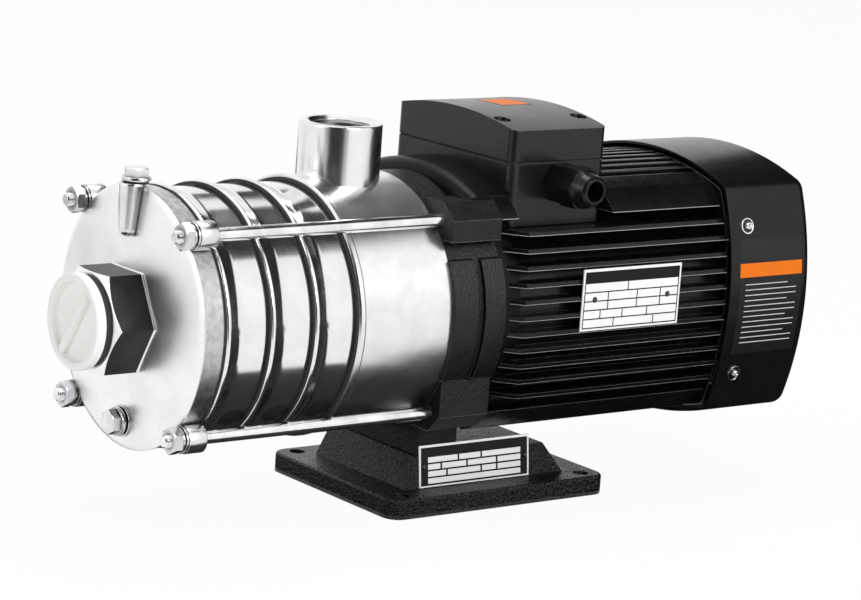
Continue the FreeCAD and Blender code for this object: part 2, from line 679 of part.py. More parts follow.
def suction_cover():
    """Cast cover with its hexagon boss, plug bosses and four rod lugs."""
    body = new_body("Cover")
    spigot = "casing_radius"
    revolve(body, (
        ("-cover_dome", "0"),
        ("-cover_dome", "hex_flats / 2"),
        ("0", "cover_radius - cover_dome"),
        ("cover_dome / 4", "cover_radius"),
        ("cover_rim", "cover_rear_radius"),
        ("cover_rim", spigot),
        ("cover_rim + gasket_thick + spigot_long", spigot),
        ("cover_rim + gasket_thick + spigot_long", f"{spigot} - cover_wall"),
        ("cover_wall", f"{spigot} - cover_wall"),
        ("cover_wall - cover_dome", "hex_flats / 2"),
        ("cover_wall - cover_dome", "0"),
    ))
    place(body, "0")
    corners_aside = ALONG.multiply(FreeCAD.Rotation(V(0, 0, 1), 30))
    nose = "-cover_dome - hex_tall - nose_tall"
    bar = prism("hex_flats", "nose_tall + hex_tall + cover_wall", nose, turn=corners_aside)
    turned = new_body("Turned")
    reach = "hex_flats / 2 / cos(30) + overrun"
    revolve(turned, (
        ("0", "0"),
        ("0", "nose_radius"),
        (f"({reach} - nose_radius) * nose_slope", reach),
        ("nose_tall + hex_tall + cover_wall", reach),
        ("nose_tall + hex_tall + cover_wall", "0"),
    ))
    hexagon = common(bar, place(turned, nose))
    extras = [body, hexagon]
    for spot in rod_spots():
        extras.append(cylinder("lug_radius", "lug_long", "lug_front", *spot))
    boss = cone("fill_boss_foot", "fill_boss_radius", "fill_boss_long", "-fill_boss_lead", "0",
                "fill_boss_top - fill_boss_long", LEVEL)
    extras.append(boss)
    seat_long = "cover_wall + drain_boss_tall"
    extras.append(cylinder("drain_boss_radius", seat_long, "-drain_boss_tall", "0", "-drain_height"))
    solid = fuse(*extras)
    tools = [cylinder("suction_bore / 2", "hex_tall + 3 * cover_wall", "-cover_dome - hex_tall - cover_wall"),
             cylinder("nose_bore", "nose_tall + overrun", f"{nose} - overrun")]
    depth = "(plug_shank_long + seal_ring_thick)"
    tools.append(cylinder("fill_bore / 2", f"{depth} + overrun", "0", "0", f"fill_boss_top - {depth}", LEVEL))
    tools.append(cylinder("fill_bore / 2", "3 * cover_wall", "-cover_wall", "0", "-drain_height"))
    for spot in rod_spots():
        tools.append(cylinder("rod_radius + fit_gap", "2 * lug_long", "0", *spot))
        tools.append(cylinder("washer_radius + fit_gap", "cover_dome + lug_front", "-cover_dome", *spot))
    return node(cut(solid, *tools), "suction_cover")


def transit_cap():
    """Threaded plastic cap in the suction port, with a rim and a grip bar across its recess."""
    body = new_body("Cap")
    skirt = "suction_bore / 2 - fit_gap"
    revolve(body, (
        ("0", "0"),
        ("0", "cap_radius - cap_rim"),
        ("-cap_recess", "cap_radius - cap_rim + cap_edge / 2"),
        ("-cap_recess", "cap_radius - cap_edge"),
        ("cap_edge - cap_recess", "cap_radius"),
        ("cap_thick - cap_recess", "cap_radius"),
        ("cap_thick - cap_recess", skirt),
        ("cap_thick - cap_recess + cap_seal_thick + cap_skirt_long", skirt),
        ("cap_thick - cap_recess + cap_seal_thick + cap_skirt_long", f"{skirt} - cap_skirt_wall"),
        ("cap_floor", f"{skirt} - cap_skirt_wall"),
        ("cap_floor", "0"),
    ))
    reach = "(cap_radius - cap_rim + cap_edge)"
    bar = outline(body, "YZ_Plane", (
        ("-cap_bar_wide / 2", f"-{reach}"),
        ("cap_bar_wide / 2", f"-{reach}"),
        ("cap_bar_wide / 2", reach),
        ("-cap_bar_wide / 2", reach),
    ))
    pad(body, bar, "cap_recess + cap_edge / 2", "-cap_recess")
    station = "-cover_dome - hex_tall - cap_seal_thick - cap_thick + cap_recess"
    turn = FreeCAD.Rotation(V(1, 0, 0), size("cap_bar_turn"))
    return node(place(body, station, turn=turn), "transit_cap")


def suction_end():
    """Cover, cap and plugs of the suction end."""
    suction_cover()
    transit_cap()
    seal = "-cover_dome - hex_tall - cap_seal_thick"
    ring("transit_cap_seal", seal, "cap_seal_thick", "suction_bore / 2", "cap_seal_radius")
    plug("fill_plug", "fill_boss_top", "0", UP)
    plug("drain_plug", "-drain_height", "-drain_boss_tall", AHEAD)


def plug(label, height, station, turn):
    """Hexagon plug with a flange, and its seal ring."""
    body = new_body("Plug")
    revolve(body, (
        ("-plug_shank_long", "0"),
        ("-plug_shank_long", "plug_shank"),
        ("seal_ring_thick", "plug_shank"),
        ("seal_ring_thick", "plug_flange"),
        ("seal_ring_thick + plug_flange_thick / 2", "plug_flange"),
        ("seal_ring_thick + plug_flange_thick", "plug_flats / 2"),
        ("seal_ring_thick + plug_flange_thick", "0"),
    ))
    head = new_sketch(body, "YZ_Plane")
    corner = "plug_flats / 2 / cos(30)"
    add_polygon(head, [(f"{corner} * cos({60 * k})", f"{corner} * sin({60 * k})") for k in range(6)])
    pad(body, head, "plug_head", "seal_ring_thick + plug_flange_thick")
    node(place(body, station, "0", height, turn), label)
    seal = new_body("Seal")
    revolve(seal, (
        ("0", "plug_shank + fit_gap"),
        ("seal_ring_thick", "plug_shank + fit_gap"),
        ("seal_ring_thick", "plug_shank + fit_gap + seal_ring_wall"),
        ("0", "plug_shank + fit_gap + seal_ring_wall"),
    ))
    node(place(seal, station, "0", height, turn), f"{label}_seal")


# Stages

def stage_casing(stage):
    """Pressed casing: socket lip, barrel, spigot and partition web."""
    body = new_body("Casing")
    socket = "casing_radius + fit_gap"
    hole = "eye_radius + neck_wall + fit_gap + neck_ring_wall + slip_gap"
    end = "stage_pitch + spigot_long"
    revolve(body, (
        ("0", socket),
        ("0", "lip_radius"),
        ("lip_long", "lip_radius"),
        ("lip_long + lip_blend", "casing_radius"),
        (end, "casing_radius"),
        (end, CASING_BORE),
        ("socket_long + web_thick", CASING_BORE),
        ("socket_long + web_thick", hole),
        ("socket_long", hole),
        ("socket_long", socket),
    ))
    start = lip_station(stage)
    rims = ((start, "lip_radius", "lip_edge"), (f"{start} + lip_long", "lip_radius", "lip_bend"),
            (f"{start} + lip_long + lip_blend", "casing_radius", "lip_bend"))
    solid = place(body, start)
    for station, radius, bend in rims:
        solid = rounded(solid, bend, lambda edge, at=station, wide=radius: is_rim(edge, at, wide))
    crown = "(dimple_radius ^ 2 + dimple_tall ^ 2) / 2 / dimple_tall"
    middle = f"{start} + dimple_station"
    raised = cut(ball(crown, middle, DIMPLE_SPOT), cylinder("casing_radius - casing_wall / 2", f"2 * ({crown})",
                                                           f"{middle} - ({crown})"))
    hollow = cut(ball(f"{crown} - casing_wall", middle, DIMPLE_SPOT),
                 cylinder(CASING_BORE, f"2 * ({crown})", f"{middle} - ({crown})"))
    return node(cut(fuse(solid, raised), hollow), f"stage_casing_{stage + 1}")


def vane_outline(body, inner, outer, offset, arc, thick):
    """A vane outline between two circles, bounded by two arcs about one centre."""
    sketch = new_sketch(body, "YZ_Plane")
    rings = [add_circle(sketch, "0", "0", radius, True) for radius in (inner, outer)]
    reach = size(offset)

    def spot(radius, bend):
        """Where an arc of the vane meets a circle round the shaft."""
        swing = math.acos((radius ** 2 + reach ** 2 - bend ** 2) / (2 * radius * reach))
        return V(radius * math.cos(swing), radius * math.sin(swing), 0)

    arcs = []
    for formula in (arc, f"{arc} + {thick}"):
        bend = size(formula)
        ends = [spot(size(radius), bend) for radius in (inner, outer)]
        angles = sorted(math.atan2(end.y, end.x - reach) for end in ends)
        circle = Part.Circle(V(reach, 0, 0), V(0, 0, 1), bend)
        index = sketch.addGeometry(Part.ArcOfCircle(circle, *angles), False)
        rule = sketch.addConstraint(Sketcher.Constraint("Radius", index, bend))
        bind(sketch, f"Constraints[{rule}]", formula)
        pin(sketch, index, 3, offset, "0")
        arcs.append(index)
    for index in arcs:
        sketch.addConstraint(Sketcher.Constraint("PointOnObject", index, 1, rings[1]))
        sketch.addConstraint(Sketcher.Constraint("PointOnObject", index, 2, rings[0]))
    for point in (1, 2):
        start = sketch.getPoint(arcs[0], point)
        finish = sketch.getPoint(arcs[1], point)
        line = sketch.addGeometry(Part.LineSegment(start, finish), False)
        sketch.addConstraint(Sketcher.Constraint("Coincident", line, 1, arcs[0], point))
        sketch.addConstraint(Sketcher.Constraint("Coincident", line, 2, arcs[1], point))
    return sketch


def impeller(stage):
    """Closed impeller: neck, two shrouds, hub and swept vanes."""
    body = new_body("Impeller")
    rear = "shroud_thick + vane_wide"
    bore = "pump_shaft_radius + slip_gap"
    revolve(body, (
        ("0", bore),
        ("0", "hub_radius - shroud_thick"),
        (f"{rear} / 2", "hub_radius"),
        (rear, "impeller_radius"),
        (f"{rear} + shroud_thick", "impeller_radius"),
        (f"{rear} + shroud_thick", "hub_radius"),
        (f"{rear} + shroud_thick + hub_rear", "hub_radius"),
        (f"{rear} + shroud_thick + hub_rear", bore),
    ))
    sketch = vane_outline(body, "vane_inner", "impeller_radius", "vane_offset", "vane_arc", "vane_thick")
    vane = pad(body, sketch, "vane_wide + shroud_thick / 2", "shroud_thick / 2")
    polar(body, vane, "vane_count")
    revolve(body, (
        ("-neck_long", "eye_radius"),
        ("-neck_long", "eye_radius + neck_wall"),
        ("0", "eye_radius + neck_wall"),
        ("0", "impeller_radius"),
        ("shroud_thick", "impeller_radius"),
        ("shroud_thick", "eye_radius + shroud_thick"),
        ("0", "eye_radius"),
    ))
    station = f"{lip_station(stage)} + impeller_station"
    return node(place(body, station), f"impeller_{stage + 1}")


def diffuser(stage):
    """Guide disc with return vanes that seat in the casing's barrel."""
    body = new_body("Guide")
    revolve(body, (
        ("0", "guide_hole"),
        ("guide_plate", "guide_hole"),
        ("guide_plate", "guide_radius"),
        ("0", "guide_radius"),
    ))
    outer = f"{CASING_BORE} - fit_gap"
    sketch = vane_outline(body, "guide_vane_inner", outer, "guide_vane_offset", "guide_vane_arc", "vane_thick")
    vane = pad(body, sketch, "guide_vane_wide + guide_plate / 2", "guide_plate / 2")
    polar(body, vane, "guide_vane_count")
    station = f"{lip_station(stage)} + guide_station"
    return node(place(body, station), f"diffuser_{stage + 1}")


def casing_gaskets():
    """Gasket rings between cover, casings and discharge casing."""
    rings = []
    for stage in range(STAGES + 1):
        start = f"{lip_station(stage)} - gasket_thick"
        rings.append(ring(None, "0", "gasket_thick", "casing_radius + fit_gap", "lip_radius - gasket_drop", start))
    return group("casing_gaskets", rings)


def neck_rings():
    """Floating neck ring in each casing's web."""
    rings = []
    inner = "eye_radius + neck_wall + fit_gap"
    for stage in range(STAGES):
        start = f"{lip_station(stage)} + socket_long"
        rings.append(ring(None, "0", "web_thick", inner, f"{inner} + neck_ring_wall", start))
    return group("neck_rings", rings)


def impeller_spacers():
    """Sleeves on the shaft between the impellers' hubs."""
    hub_end = "impeller_station + 2 * shroud_thick + vane_wide + hub_rear"
    bore = "pump_shaft_radius + slip_gap"
    sleeves = []
    for stage in range(STAGES - 1):
        start = f"{lip_station(stage)} + {hub_end}"
        length = "stage_pitch - 2 * shroud_thick - vane_wide - hub_rear"
        sleeves.append(ring(None, "0", length, bore, "hub_radius - shroud_thick", start))
    return group("impeller_spacers", sleeves)


def stages():
    """All that repeats with each stage."""
    for stage in range(STAGES):
        stage_casing(stage)
        impeller(stage)
        diffuser(stage)
    casing_gaskets()
    neck_rings()
    impeller_spacers()


# Discharge casing and tie rods

def discharge_casing():
    """Discharge casing with its threaded port and rear wall."""
    body = new_body("Outlet")
    socket = "casing_radius + fit_gap"
    chamber = "outlet_radius - outlet_wall"
    revolve(body, (
        ("0", socket),
        ("0", "outlet_lip - gasket_drop"),
        ("gasket_drop", "outlet_lip"),
        ("outlet_lip_long", "outlet_lip"),
        ("outlet_lip_long + gasket_drop", "outlet_radius"),
        ("outlet_long", "outlet_radius"),
        ("outlet_long", "seat_radius + slip_gap"),
        ("outlet_long - outlet_back", "seat_radius + slip_gap"),
        ("outlet_long - outlet_back", f"{chamber} - outlet_back"),
        ("outlet_long - 2 * outlet_back", chamber),
        ("socket_long + outlet_back", chamber),
        ("socket_long", socket),
    ))
    place(body, OUTLET)
    port = f"{OUTLET} + port_station"
    root = f"{chamber} - outlet_wall"
    neck = cylinder("port_radius", f"port_top - ({root}) - port_edge", port, "0", root, LEVEL)
    mouth = cone("port_radius", "port_radius - port_edge", "port_edge", port, "0", "port_top - port_edge", LEVEL)
    chamber_bar = cylinder(chamber, "port_radius * 2 + outlet_back", f"{port} - port_radius - outlet_back / 2")
    shell = fuse(body, cut(fuse(neck, mouth), chamber_bar))
    bore = cylinder("port_bore / 2", "port_top", port, "0", f"({chamber}) / 2", LEVEL)
    flare_low = "port_bore / 2"
    flare = cone(flare_low, "port_bore / 2 + port_chamfer", "port_chamfer", port, "0",
                 "port_top - port_chamfer", LEVEL)
    return node(cut(shell, bore, flare), "discharge_casing")


def tie_rods():
    """Four rods with their washers and nuts."""
    rods = []
    washers = []
    springs = []
    nuts = []
    length = f"rod_front + {OUTLET_END} + ear_front + rod_sunk"
    flat = "lug_front - washer_thick"
    spring = f"{flat} - spring_thick"
    start = f"{spring} - nut_tall"
    for spot in rod_spots():
        rods.append(cylinder("rod_radius", length, "-rod_front", *spot))
        washer = cylinder("washer_radius", "washer_thick", flat, *spot)
        washers.append(holed(washer, "rod_radius + fit_gap", flat, spot))
        springs.append(holed(cylinder("spring_radius", "spring_thick", spring, *spot), "rod_radius + fit_gap",
                             spring, spot))
        nut = prism("nut_flats", "nut_tall", start, *spot)
        nuts.append(holed(nut, "rod_radius + slip_gap", start, spot))
    group("tie_rods", rods)
    group("tie_rod_washers", washers)
    group("tie_rod_spring_washers", springs)
    group("tie_rod_nuts", nuts)


def holed(thing, radius, start, spot):
    """A short piece on a tie rod with the rod's hole in it."""
    return cut(thing, cylinder(radius, "2 * nut_tall", f"{start} - nut_tall / 2", *spot))


# Bracket and foot

def bracket_ear(side, rise):
    """One ear that takes a tie rod's thread."""
    long = "bracket_long - ear_front"
    inner_height = "ear_low" if rise > 0 else "ear_high"
    start_across = "ear_inner" if side > 0 else "-ear_reach"
    start_height = inner_height if rise > 0 else "-ear_reach"
    block = box(long, "ear_reach - ear_inner", f"ear_reach - {inner_height}", f"{OUTLET_END} + ear_front",
                start_across, start_height)
    corner = V(0, side * size("ear_reach"), rise * size("ear_reach") + size("shaft_height"))

    def outer_edge(edge):
        """The long edge at the ear's outer corner."""
        spot = edge.CenterOfMass
        near = abs(spot.y - corner.y) < NEARLY and abs(spot.z - corner.z) < NEARLY
        return near and runs_along(edge, V(1, 0, 0))

    return bevelled(block, "ear_chamfer", outer_edge)


def flange_spots():
    """Offset and height of each screw between the bracket and the motor housing."""
    return [(f"{side} * flange_screw", f"{rise} * flange_screw") for side, rise in QUARTERS]


def shield_spots():
    """Offset and height of each screw that holds the rear shield."""
    return [(f"{side} * shield_screw_across", f"{rise} * shield_screw_height") for side, rise in QUARTERS]


def motor_bracket():
    """Cast bracket: ring, side bands, ears, leg, web and front bearing seat."""
    start = OUTLET_END
    ring_solid = cylinder("bracket_radius", "bracket_long", start)
    extras = [ring_solid]
    band_two = "bracket_long - band_one - band_gap"
    window = box("bracket_long", "2 * cover_radius + 4 * band_proud", "2 * band_half", start,
                 "-cover_radius - 2 * band_proud", "-band_half")
    bands = fuse(
        cylinder("bracket_radius + band_proud", "band_one", start),
        cylinder("bracket_radius + band_proud", band_two, f"{start} + band_one + band_gap"),
    )
    extras.append(common(bands, window))
    extras.extend(bracket_ear(side, rise) for side, rise in QUARTERS)
    extras.append(box("leg_long", "leg_wide", f"({LEG_FOOT}) * -1 - leg_top", f"{start} + leg_front",
                      "-leg_wide / 2", LEG_FOOT))
    seat_end = "front_bearing_station + front_bearing_wide"
    seat_outer = "front_bearing_outer / 2 + shield_wall"
    web = f"{start} + bracket_long - shield_thick"
    extras.append(cylinder(seat_outer, f"{seat_end} - ({web})", web))
    solid = fuse(*extras)
    hollow = cylinder("bracket_radius - bracket_wall", "bracket_long - shield_thick", start)
    seat = cylinder("front_bearing_outer / 2 + slip_gap", "front_bearing_wide + overrun", "front_bearing_station")
    through = cylinder("front_bearing_outer / 2 - shield_wall", "2 * bracket_long", start)
    tools = [hollow, seat, through]
    for spot in rod_spots():
        tools.append(cylinder("rod_radius + slip_gap", "ear_front + rod_sunk + overrun", start, *spot))
    for spot in flange_spots():
        tools.append(cylinder("motor_screw_radius + fit_gap", "2 * shield_thick",
                              f"{FRAME} - shield_thick - overrun", *spot))
    for across in FOOT_SCREWS:
        tools.append(cylinder("foot_screw_radius + slip_gap", "foot_screw_bite + overrun", LEG_MIDDLE, across,
                              LEG_FOOT, LEVEL))
    return node(cut(solid, *tools), "motor_bracket")


def pedestal():
    """The raised middle of the foot, which leans in on all four sides."""
    body = new_body("Pedestal")
    front = "-pedestal_long / 2"
    rear = "pedestal_long / 2"
    side = "pedestal_wide / 2"
    low = outline(body, "XY_Plane", ((front, f"-({side})"), (rear, f"-({side})"), (rear, side), (front, side)))
    front = f"{front} + pedestal_lean_front"
    rear = f"{rear} - pedestal_lean_rear"
    side = f"{side} - pedestal_lean_wide"
    high = outline(body, "XY_Plane", ((front, f"-({side})"), (rear, f"-({side})"), (rear, side), (front, side)))
    bind(high, "AttachmentOffset.Base.z", "pedestal_tall")
    loft = body.newObject("PartDesign::AdditiveLoft", fresh("Loft"))
    loft.Profile = low
    loft.Sections = [high]
    loft.Ruled = True
    return place(body, "foot_station", "0", "foot_plate - shaft_height")


def rectangle(long, wide):
    """Corners of a rectangle about the origin."""
    return (
        (f"-({long}) / 2", f"-({wide}) / 2"),
        (f"({long}) / 2", f"-({wide}) / 2"),
        (f"({long}) / 2", f"({wide}) / 2"),
        (f"-({long}) / 2", f"({wide}) / 2"),
    )


def foot():
    """Cast foot: rounded plate with four holes, and a hollow pedestal."""
    plate_solid = box("foot_long", "foot_wide", "foot_plate", "foot_station - foot_long / 2", "-foot_wide / 2",
                      "-shaft_height")
    plate_solid = rounded(plate_solid, "foot_corner", lambda edge: runs_along(edge, V(0, 0, 1)))
    top = size("foot_plate")
    plate_solid = rounded(plate_solid, "foot_edge", lambda edge: abs(edge.CenterOfMass.z - top) < NEARLY)
    solid = fuse(plate_solid, pedestal())
    long = "pedestal_long - 2 * foot_wall - pedestal_lean_front - pedestal_lean_rear"
    wide = "pedestal_wide - 2 * foot_wall - 2 * pedestal_lean_wide"
    hollow = box(long, wide, "foot_plate + pedestal_tall - foot_wall",
                 "foot_station - pedestal_long / 2 + foot_wall + pedestal_lean_front", f"-({wide}) / 2",
                 "-shaft_height")
    tools = [soft_hollow(hollow)]
    for side, rise in QUARTERS:
        station = f"foot_station + {side} * bolt_gap_long / 2"
        across = f"{rise} * bolt_gap_wide / 2"
        tools.append(cylinder("bolt_hole / 2", "2 * foot_plate", station, across,
                              "-shaft_height - foot_plate / 2", LEVEL))
    for across in FOOT_SCREWS:
        tools.append(cylinder("foot_screw_radius + fit_gap", "2 * foot_wall", LEG_MIDDLE, across,
                              f"{LEG_FOOT} - 3 / 2 * foot_wall", LEVEL))
    return node(cut(solid, *tools), "foot")


def soft_hollow(block):
    """Round the upright edges of the foot's hollow."""
    return rounded(block, "foot_wall", lambda edge: runs_along(edge, V(0, 0, 1)))


def foot_screws():
    """Two screws from inside the foot into the bracket's leg."""
    screws = []
    under = f"{LEG_FOOT} - foot_wall"
    for across in FOOT_SCREWS:
        shank = cylinder("foot_screw_radius", "foot_wall + foot_screw_bite", LEG_MIDDLE, across, under, LEVEL)
        head = prism("foot_screw_flats", "foot_screw_head_tall", LEG_MIDDLE, across,
                     f"{under} - foot_screw_head_tall", LEVEL)
        screws.append(fuse(shank, head))
    return group("foot_screws", screws)


# Shaft line

def shaft():
    """Stepped shaft from the impeller nut to the fan."""
    body = new_body("Shaft")
    pump_start = f"{lip_station(0)} + impeller_station - shaft_front"
    seal_start = (f"{lip_station(STAGES - 1)} + impeller_station + 2 * shroud_thick + vane_wide + hub_rear"
                  " - shaft_front")
    front_end = "front_bearing_station + front_bearing_wide - shaft_front"
    rotor_start = "stator_station - end_ring_long - shaft_front"
    rotor_end = "stator_station + stator_long + end_ring_long - shaft_front"
    rear_start = "rear_bearing_station - shaft_front"
    rear_end = "rear_bearing_station + rear_bearing_wide - shaft_front"
    shoulder = "rear_bearing_bore / 2 + shroud_thick"
    revolve(body, (
        ("0", "0"),
        ("0", "thread_radius"),
        (pump_start, "thread_radius"),
        (pump_start, "pump_shaft_radius"),
        (seal_start, "pump_shaft_radius"),
        (seal_start, "seal_shaft_radius"),
        ("front_bearing_station - shaft_front", "seal_shaft_radius"),
        ("front_bearing_station - shaft_front", "front_bearing_bore / 2"),
        (front_end, "front_bearing_bore / 2"),
        (front_end, "front_bearing_bore / 2 + shroud_thick"),
        (rotor_start, "front_bearing_bore / 2 + shroud_thick"),
        (rotor_start, "rotor_shaft_radius"),
        (rotor_end, "rotor_shaft_radius"),
        (rotor_end, shoulder),
        (rear_start, shoulder),
        (rear_start, "rear_bearing_bore / 2"),
        (rear_end, "rear_bearing_bore / 2"),
        (rear_end, "fan_shaft_radius"),
        ("shaft_long", "fan_shaft_radius"),
        ("shaft_long", "0"),
    ))
    return node(place(body, "shaft_front"), "shaft")


def impeller_nut():
    """Nut that clamps the impellers on the shaft."""
    end = f"{lip_station(0)} + impeller_station"
    nut = prism("nut_shaft_flats", "nut_shaft_tall", f"{end} - nut_shaft_tall")
    bore = cylinder("thread_radius + slip_gap", "nut_shaft_tall + 2 * overrun", f"{end} - nut_shaft_tall - overrun")
    return node(cut(nut, bore), "impeller_nut")


def shaft_seal():
    """Stationary ring in its rubber cup, and the rotary half with its carbon face."""
    face = f"{OUTLET_END} - seat_long"
    ring("seal_seat_cup", face, "seat_long", "seat_ring + slip_gap", "seat_radius")
    ring("seal_seat", face, "seat_long", "seal_shaft_radius + 4 * fit_gap", "seat_ring")
    body = new_body("Seal")
    bore = "seal_shaft_radius + slip_gap"
    shell = "rotary_long - face_long"
    revolve(body, (
        ("0", bore),
        ("0", "rotary_radius"),
        (shell, "rotary_radius"),
        (shell, "seat_ring - face_drop"),
        ("rotary_long", "seat_ring - face_drop"),
        ("rotary_long", bore),
    ))
    node(place(body, f"{face} - rotary_long"), "rotary_seal")
    ring("water_slinger", "slinger_station", "slinger_thick", bore, "slinger_radius")


def bearing(prefix):
    """Deep-groove bearing: inner race, outer race, and the balls in their cage."""
    bore = f"{prefix}_bearing_bore"
    outer = f"{prefix}_bearing_outer"
    wide = f"{prefix}_bearing_wide"
    station = f"{prefix}_bearing_station"
    race = f"{prefix}_race"
    middle = f"({outer} + {bore}) / 4"
    ball = f"{prefix}_ball"
    races = []
    spans = ((f"{bore} / 2 + slip_gap", f"{bore} / 2 + {race}"), (f"{outer} / 2 - {race}", f"{outer} / 2"))
    for inside, outside in spans:
        track = doc.addObject("Part::Torus", fresh("Track"))
        bind(track, "Radius1", middle)
        bind(track, "Radius2", f"{ball} + ball_gap")
        place(track, f"{station} + {wide} / 2", turn=ALONG)
        races.append(cut(ring(None, "0", wide, inside, outside, station), track))
    balls = []
    count = int(size("ball_count"))
    for index in range(count):
        angle = 360 * index / count
        sphere = doc.addObject("Part::Sphere", fresh("Ball"))
        bind(sphere, "Radius", ball)
        place(sphere, f"{station} + {wide} / 2", f"{middle} * cos({angle})", f"{middle} * sin({angle})")
        balls.append(sphere)
    cage = ring(None, "0", "cage_wide", f"{middle} - cage_wall / 2", f"{middle} + cage_wall / 2",
                f"{station} + ({wide} - cage_wide) / 2")
    return races[0], races[1], fuse(cage, *balls)


def bearings():
    """The races and the ball cages of both bearings."""
    inner, outer, cages = zip(bearing("front"), bearing("rear"))
    group("bearing_inner_races", inner)
    group("bearing_outer_races", outer)
    group("bearing_ball_cages", cages)


def rotor():
    """Rotor core with its cast end rings."""
    body = new_body("Rotor")
    outer = "stator_bore - air_gap"
    rim = f"{outer} - end_ring_drop"
    bore = "rotor_shaft_radius + slip_gap"
    back = "stator_long"
    tip = "stator_long + end_ring_long"
    revolve(body, (
        ("0", bore),
        ("0", f"{rim} - end_ring_wall"),
        ("-end_ring_long", f"{rim} - end_ring_wall"),
        ("-end_ring_long", rim),
        ("0", rim),
        ("0", outer),
        (back, outer),
        (back, rim),
        (tip, rim),
        (tip, f"{rim} - end_ring_wall"),
        (back, f"{rim} - end_ring_wall"),
        (back, bore),
    ))
    return node(place(body, "stator_station"), "rotor_core")


def shaft_line():
    """Everything on the shaft apart from the impellers and the fan."""
    shaft()
    impeller_nut()
    shaft_seal()
    bearings()
    rotor()


# Motor

def fin_plates():
    """Flat plates whose ends become the side, top and bottom fins."""
    plates = []
    reach = "frame_half"
    start = f"{FRAME} + fin_start"
    long = "frame_long - fin_start"
    count = int(size("fin_count"))
    for index in range(count):
        height = f"({index} - (fin_count - 1) / 2) * fin_pitch - fin_thick / 2"
        plates.append(box(long, f"2 * {reach}", "fin_thick", start, f"-{reach}", height))
    count = int(size("top_fin_count"))
    for index in range(count):
        for side in (-1, 1):
            middle = f"{side} * ({index} + 0.5) * top_fin_pitch"
            plates.append(box(long, "fin_thick", f"2 * {reach}", start, f"{middle} - fin_thick / 2", f"-{reach}"))
    return plates


def motor_housing():
    """Finned aluminium housing with smooth corner panels and a seat for the box."""
    start = FRAME
    outside = bulged_bar("frame_half", "frame_bow", "frame_long", start)
    corner_bar = cylinder("frame_reach", "frame_long", start)
    slope = cone("core_radius", "core_radius + 4 * fin_slope", "4 * fin_slope", f"{start} + fin_start")
    tail = cylinder("2 * frame_half", "frame_long", f"{start} + fin_start + 2 * fin_slope")
    flange = cylinder("frame_reach", "fin_start", start)
    panels = []
    for side, rise in QUARTERS:
        across = "panel_across" if side > 0 else "-frame_reach"
        height = "panel_height" if rise > 0 else "-frame_reach"
        panels.append(box("frame_long", "frame_reach - panel_across", "frame_reach - panel_height", start,
                          across, height))
    slanted = common(fuse(*fin_plates()), fuse(slope, tail, flange))
    fins = common(fuse(slanted, *panels), outside, corner_bar)
    notch = box("box_long + 2 * fit_gap", "4 * frame_half", "2 * frame_half",
                "box_station - box_long / 2 - fit_gap", "-2 * frame_half", "box_skirt - fit_gap")
    core = cylinder("core_radius", "frame_long", start)
    tools = [cylinder("stator_radius + slip_gap", "2 * frame_long", f"{start} - overrun")]
    tools.append(cylinder("wire_hole", "frame_half", "box_station", "0", "stator_radius - overrun", LEVEL))
    solid = cut(fuse(cut(fins, notch), core), *tools)
    front = cylinder("stator_radius + slip_gap + shield_wall / 2", "flange_long", start)
    room = cylinder("flange_bore", "2 * flange_long", f"{start} - overrun")
    holes = [room]
    for spot in flange_spots():
        holes.append(cylinder("motor_screw_radius + slip_gap", "motor_screw_bite + 2 * overrun",
                              f"{start} - overrun", *spot))
    for spot in shield_spots():
        holes.append(cylinder("motor_screw_radius + slip_gap", "motor_screw_bite + 2 * overrun",
                              f"{start} + frame_long - motor_screw_bite - overrun", *spot))
    return node(cut(fuse(solid, front), *holes), "motor_housing")


def motor_screws():
    """Eight alike screws: four through the bracket's web and four through the rear shield."""
    screws = []
    long = "motor_screw_bite + shield_thick"
    for spot in flange_spots():
        head = prism("motor_screw_flats", "motor_screw_head", f"{FRAME} - shield_thick - motor_screw_head", *spot)
        screws.append(fuse(cylinder("motor_screw_radius", long, f"{FRAME} - shield_thick", *spot), head))
    shield = f"{FRAME} + frame_long"
    for spot in shield_spots():
        head = prism("motor_screw_flats", "motor_screw_head", f"{shield} + shield_thick", *spot)
        screws.append(fuse(cylinder("motor_screw_radius", long, f"{shield} - motor_screw_bite", *spot), head))
    return group("motor_screws", screws)


def stator():
    """Stator core and the two winding overhangs."""
    ring("stator_core", "stator_station", "stator_long", "stator_bore", "stator_radius")
    coils = []
    for start in ("stator_station - winding_long", "stator_station + stator_long"):
        inner = "winding_radius - winding_wall"
        first = start.endswith("winding_long")
        near = "0" if first else "winding_long"
        far = "winding_long" if first else "0"
        sign = "" if first else "-"
        body = new_body("Coil")
        revolve(body, (
            (far, inner),
            (far, "winding_radius"),
            (f"{near} + {sign}winding_round", "winding_radius"),
            (near, "winding_radius - winding_round"),
            (near, f"{inner} + winding_round"),
            (f"{near} + {sign}winding_round", inner),
        ))
        coils.append(place(body, start))
    return group("stator_windings", coils)


def screw_place(side, rise, reach, slide="0"):
    """Offset and height of a point along a fan cover screw, and past its axis by a slide."""
    sine = "(cowl_screw_height / cowl_bow)"
    cosine = f"sqrt(1 - {sine} ^ 2)"
    across = f"{side} * (({reach}) * {cosine} - cowl_bow + cowl_half) + ({slide}) * {rise} * {sine}"
    height = f"{rise} * ({reach}) * {sine} - ({slide}) * {side} * {cosine}"
    return across, height


def screw_turn(side, rise):
    """Turn that points an upright piece out of the fan cover's side at a screw."""
    swing = math.asin(size("cowl_screw_height / cowl_bow"))
    return FreeCAD.Rotation(V(1, 0, 0), math.degrees(math.atan2(-side * math.cos(swing), rise * math.sin(swing))))


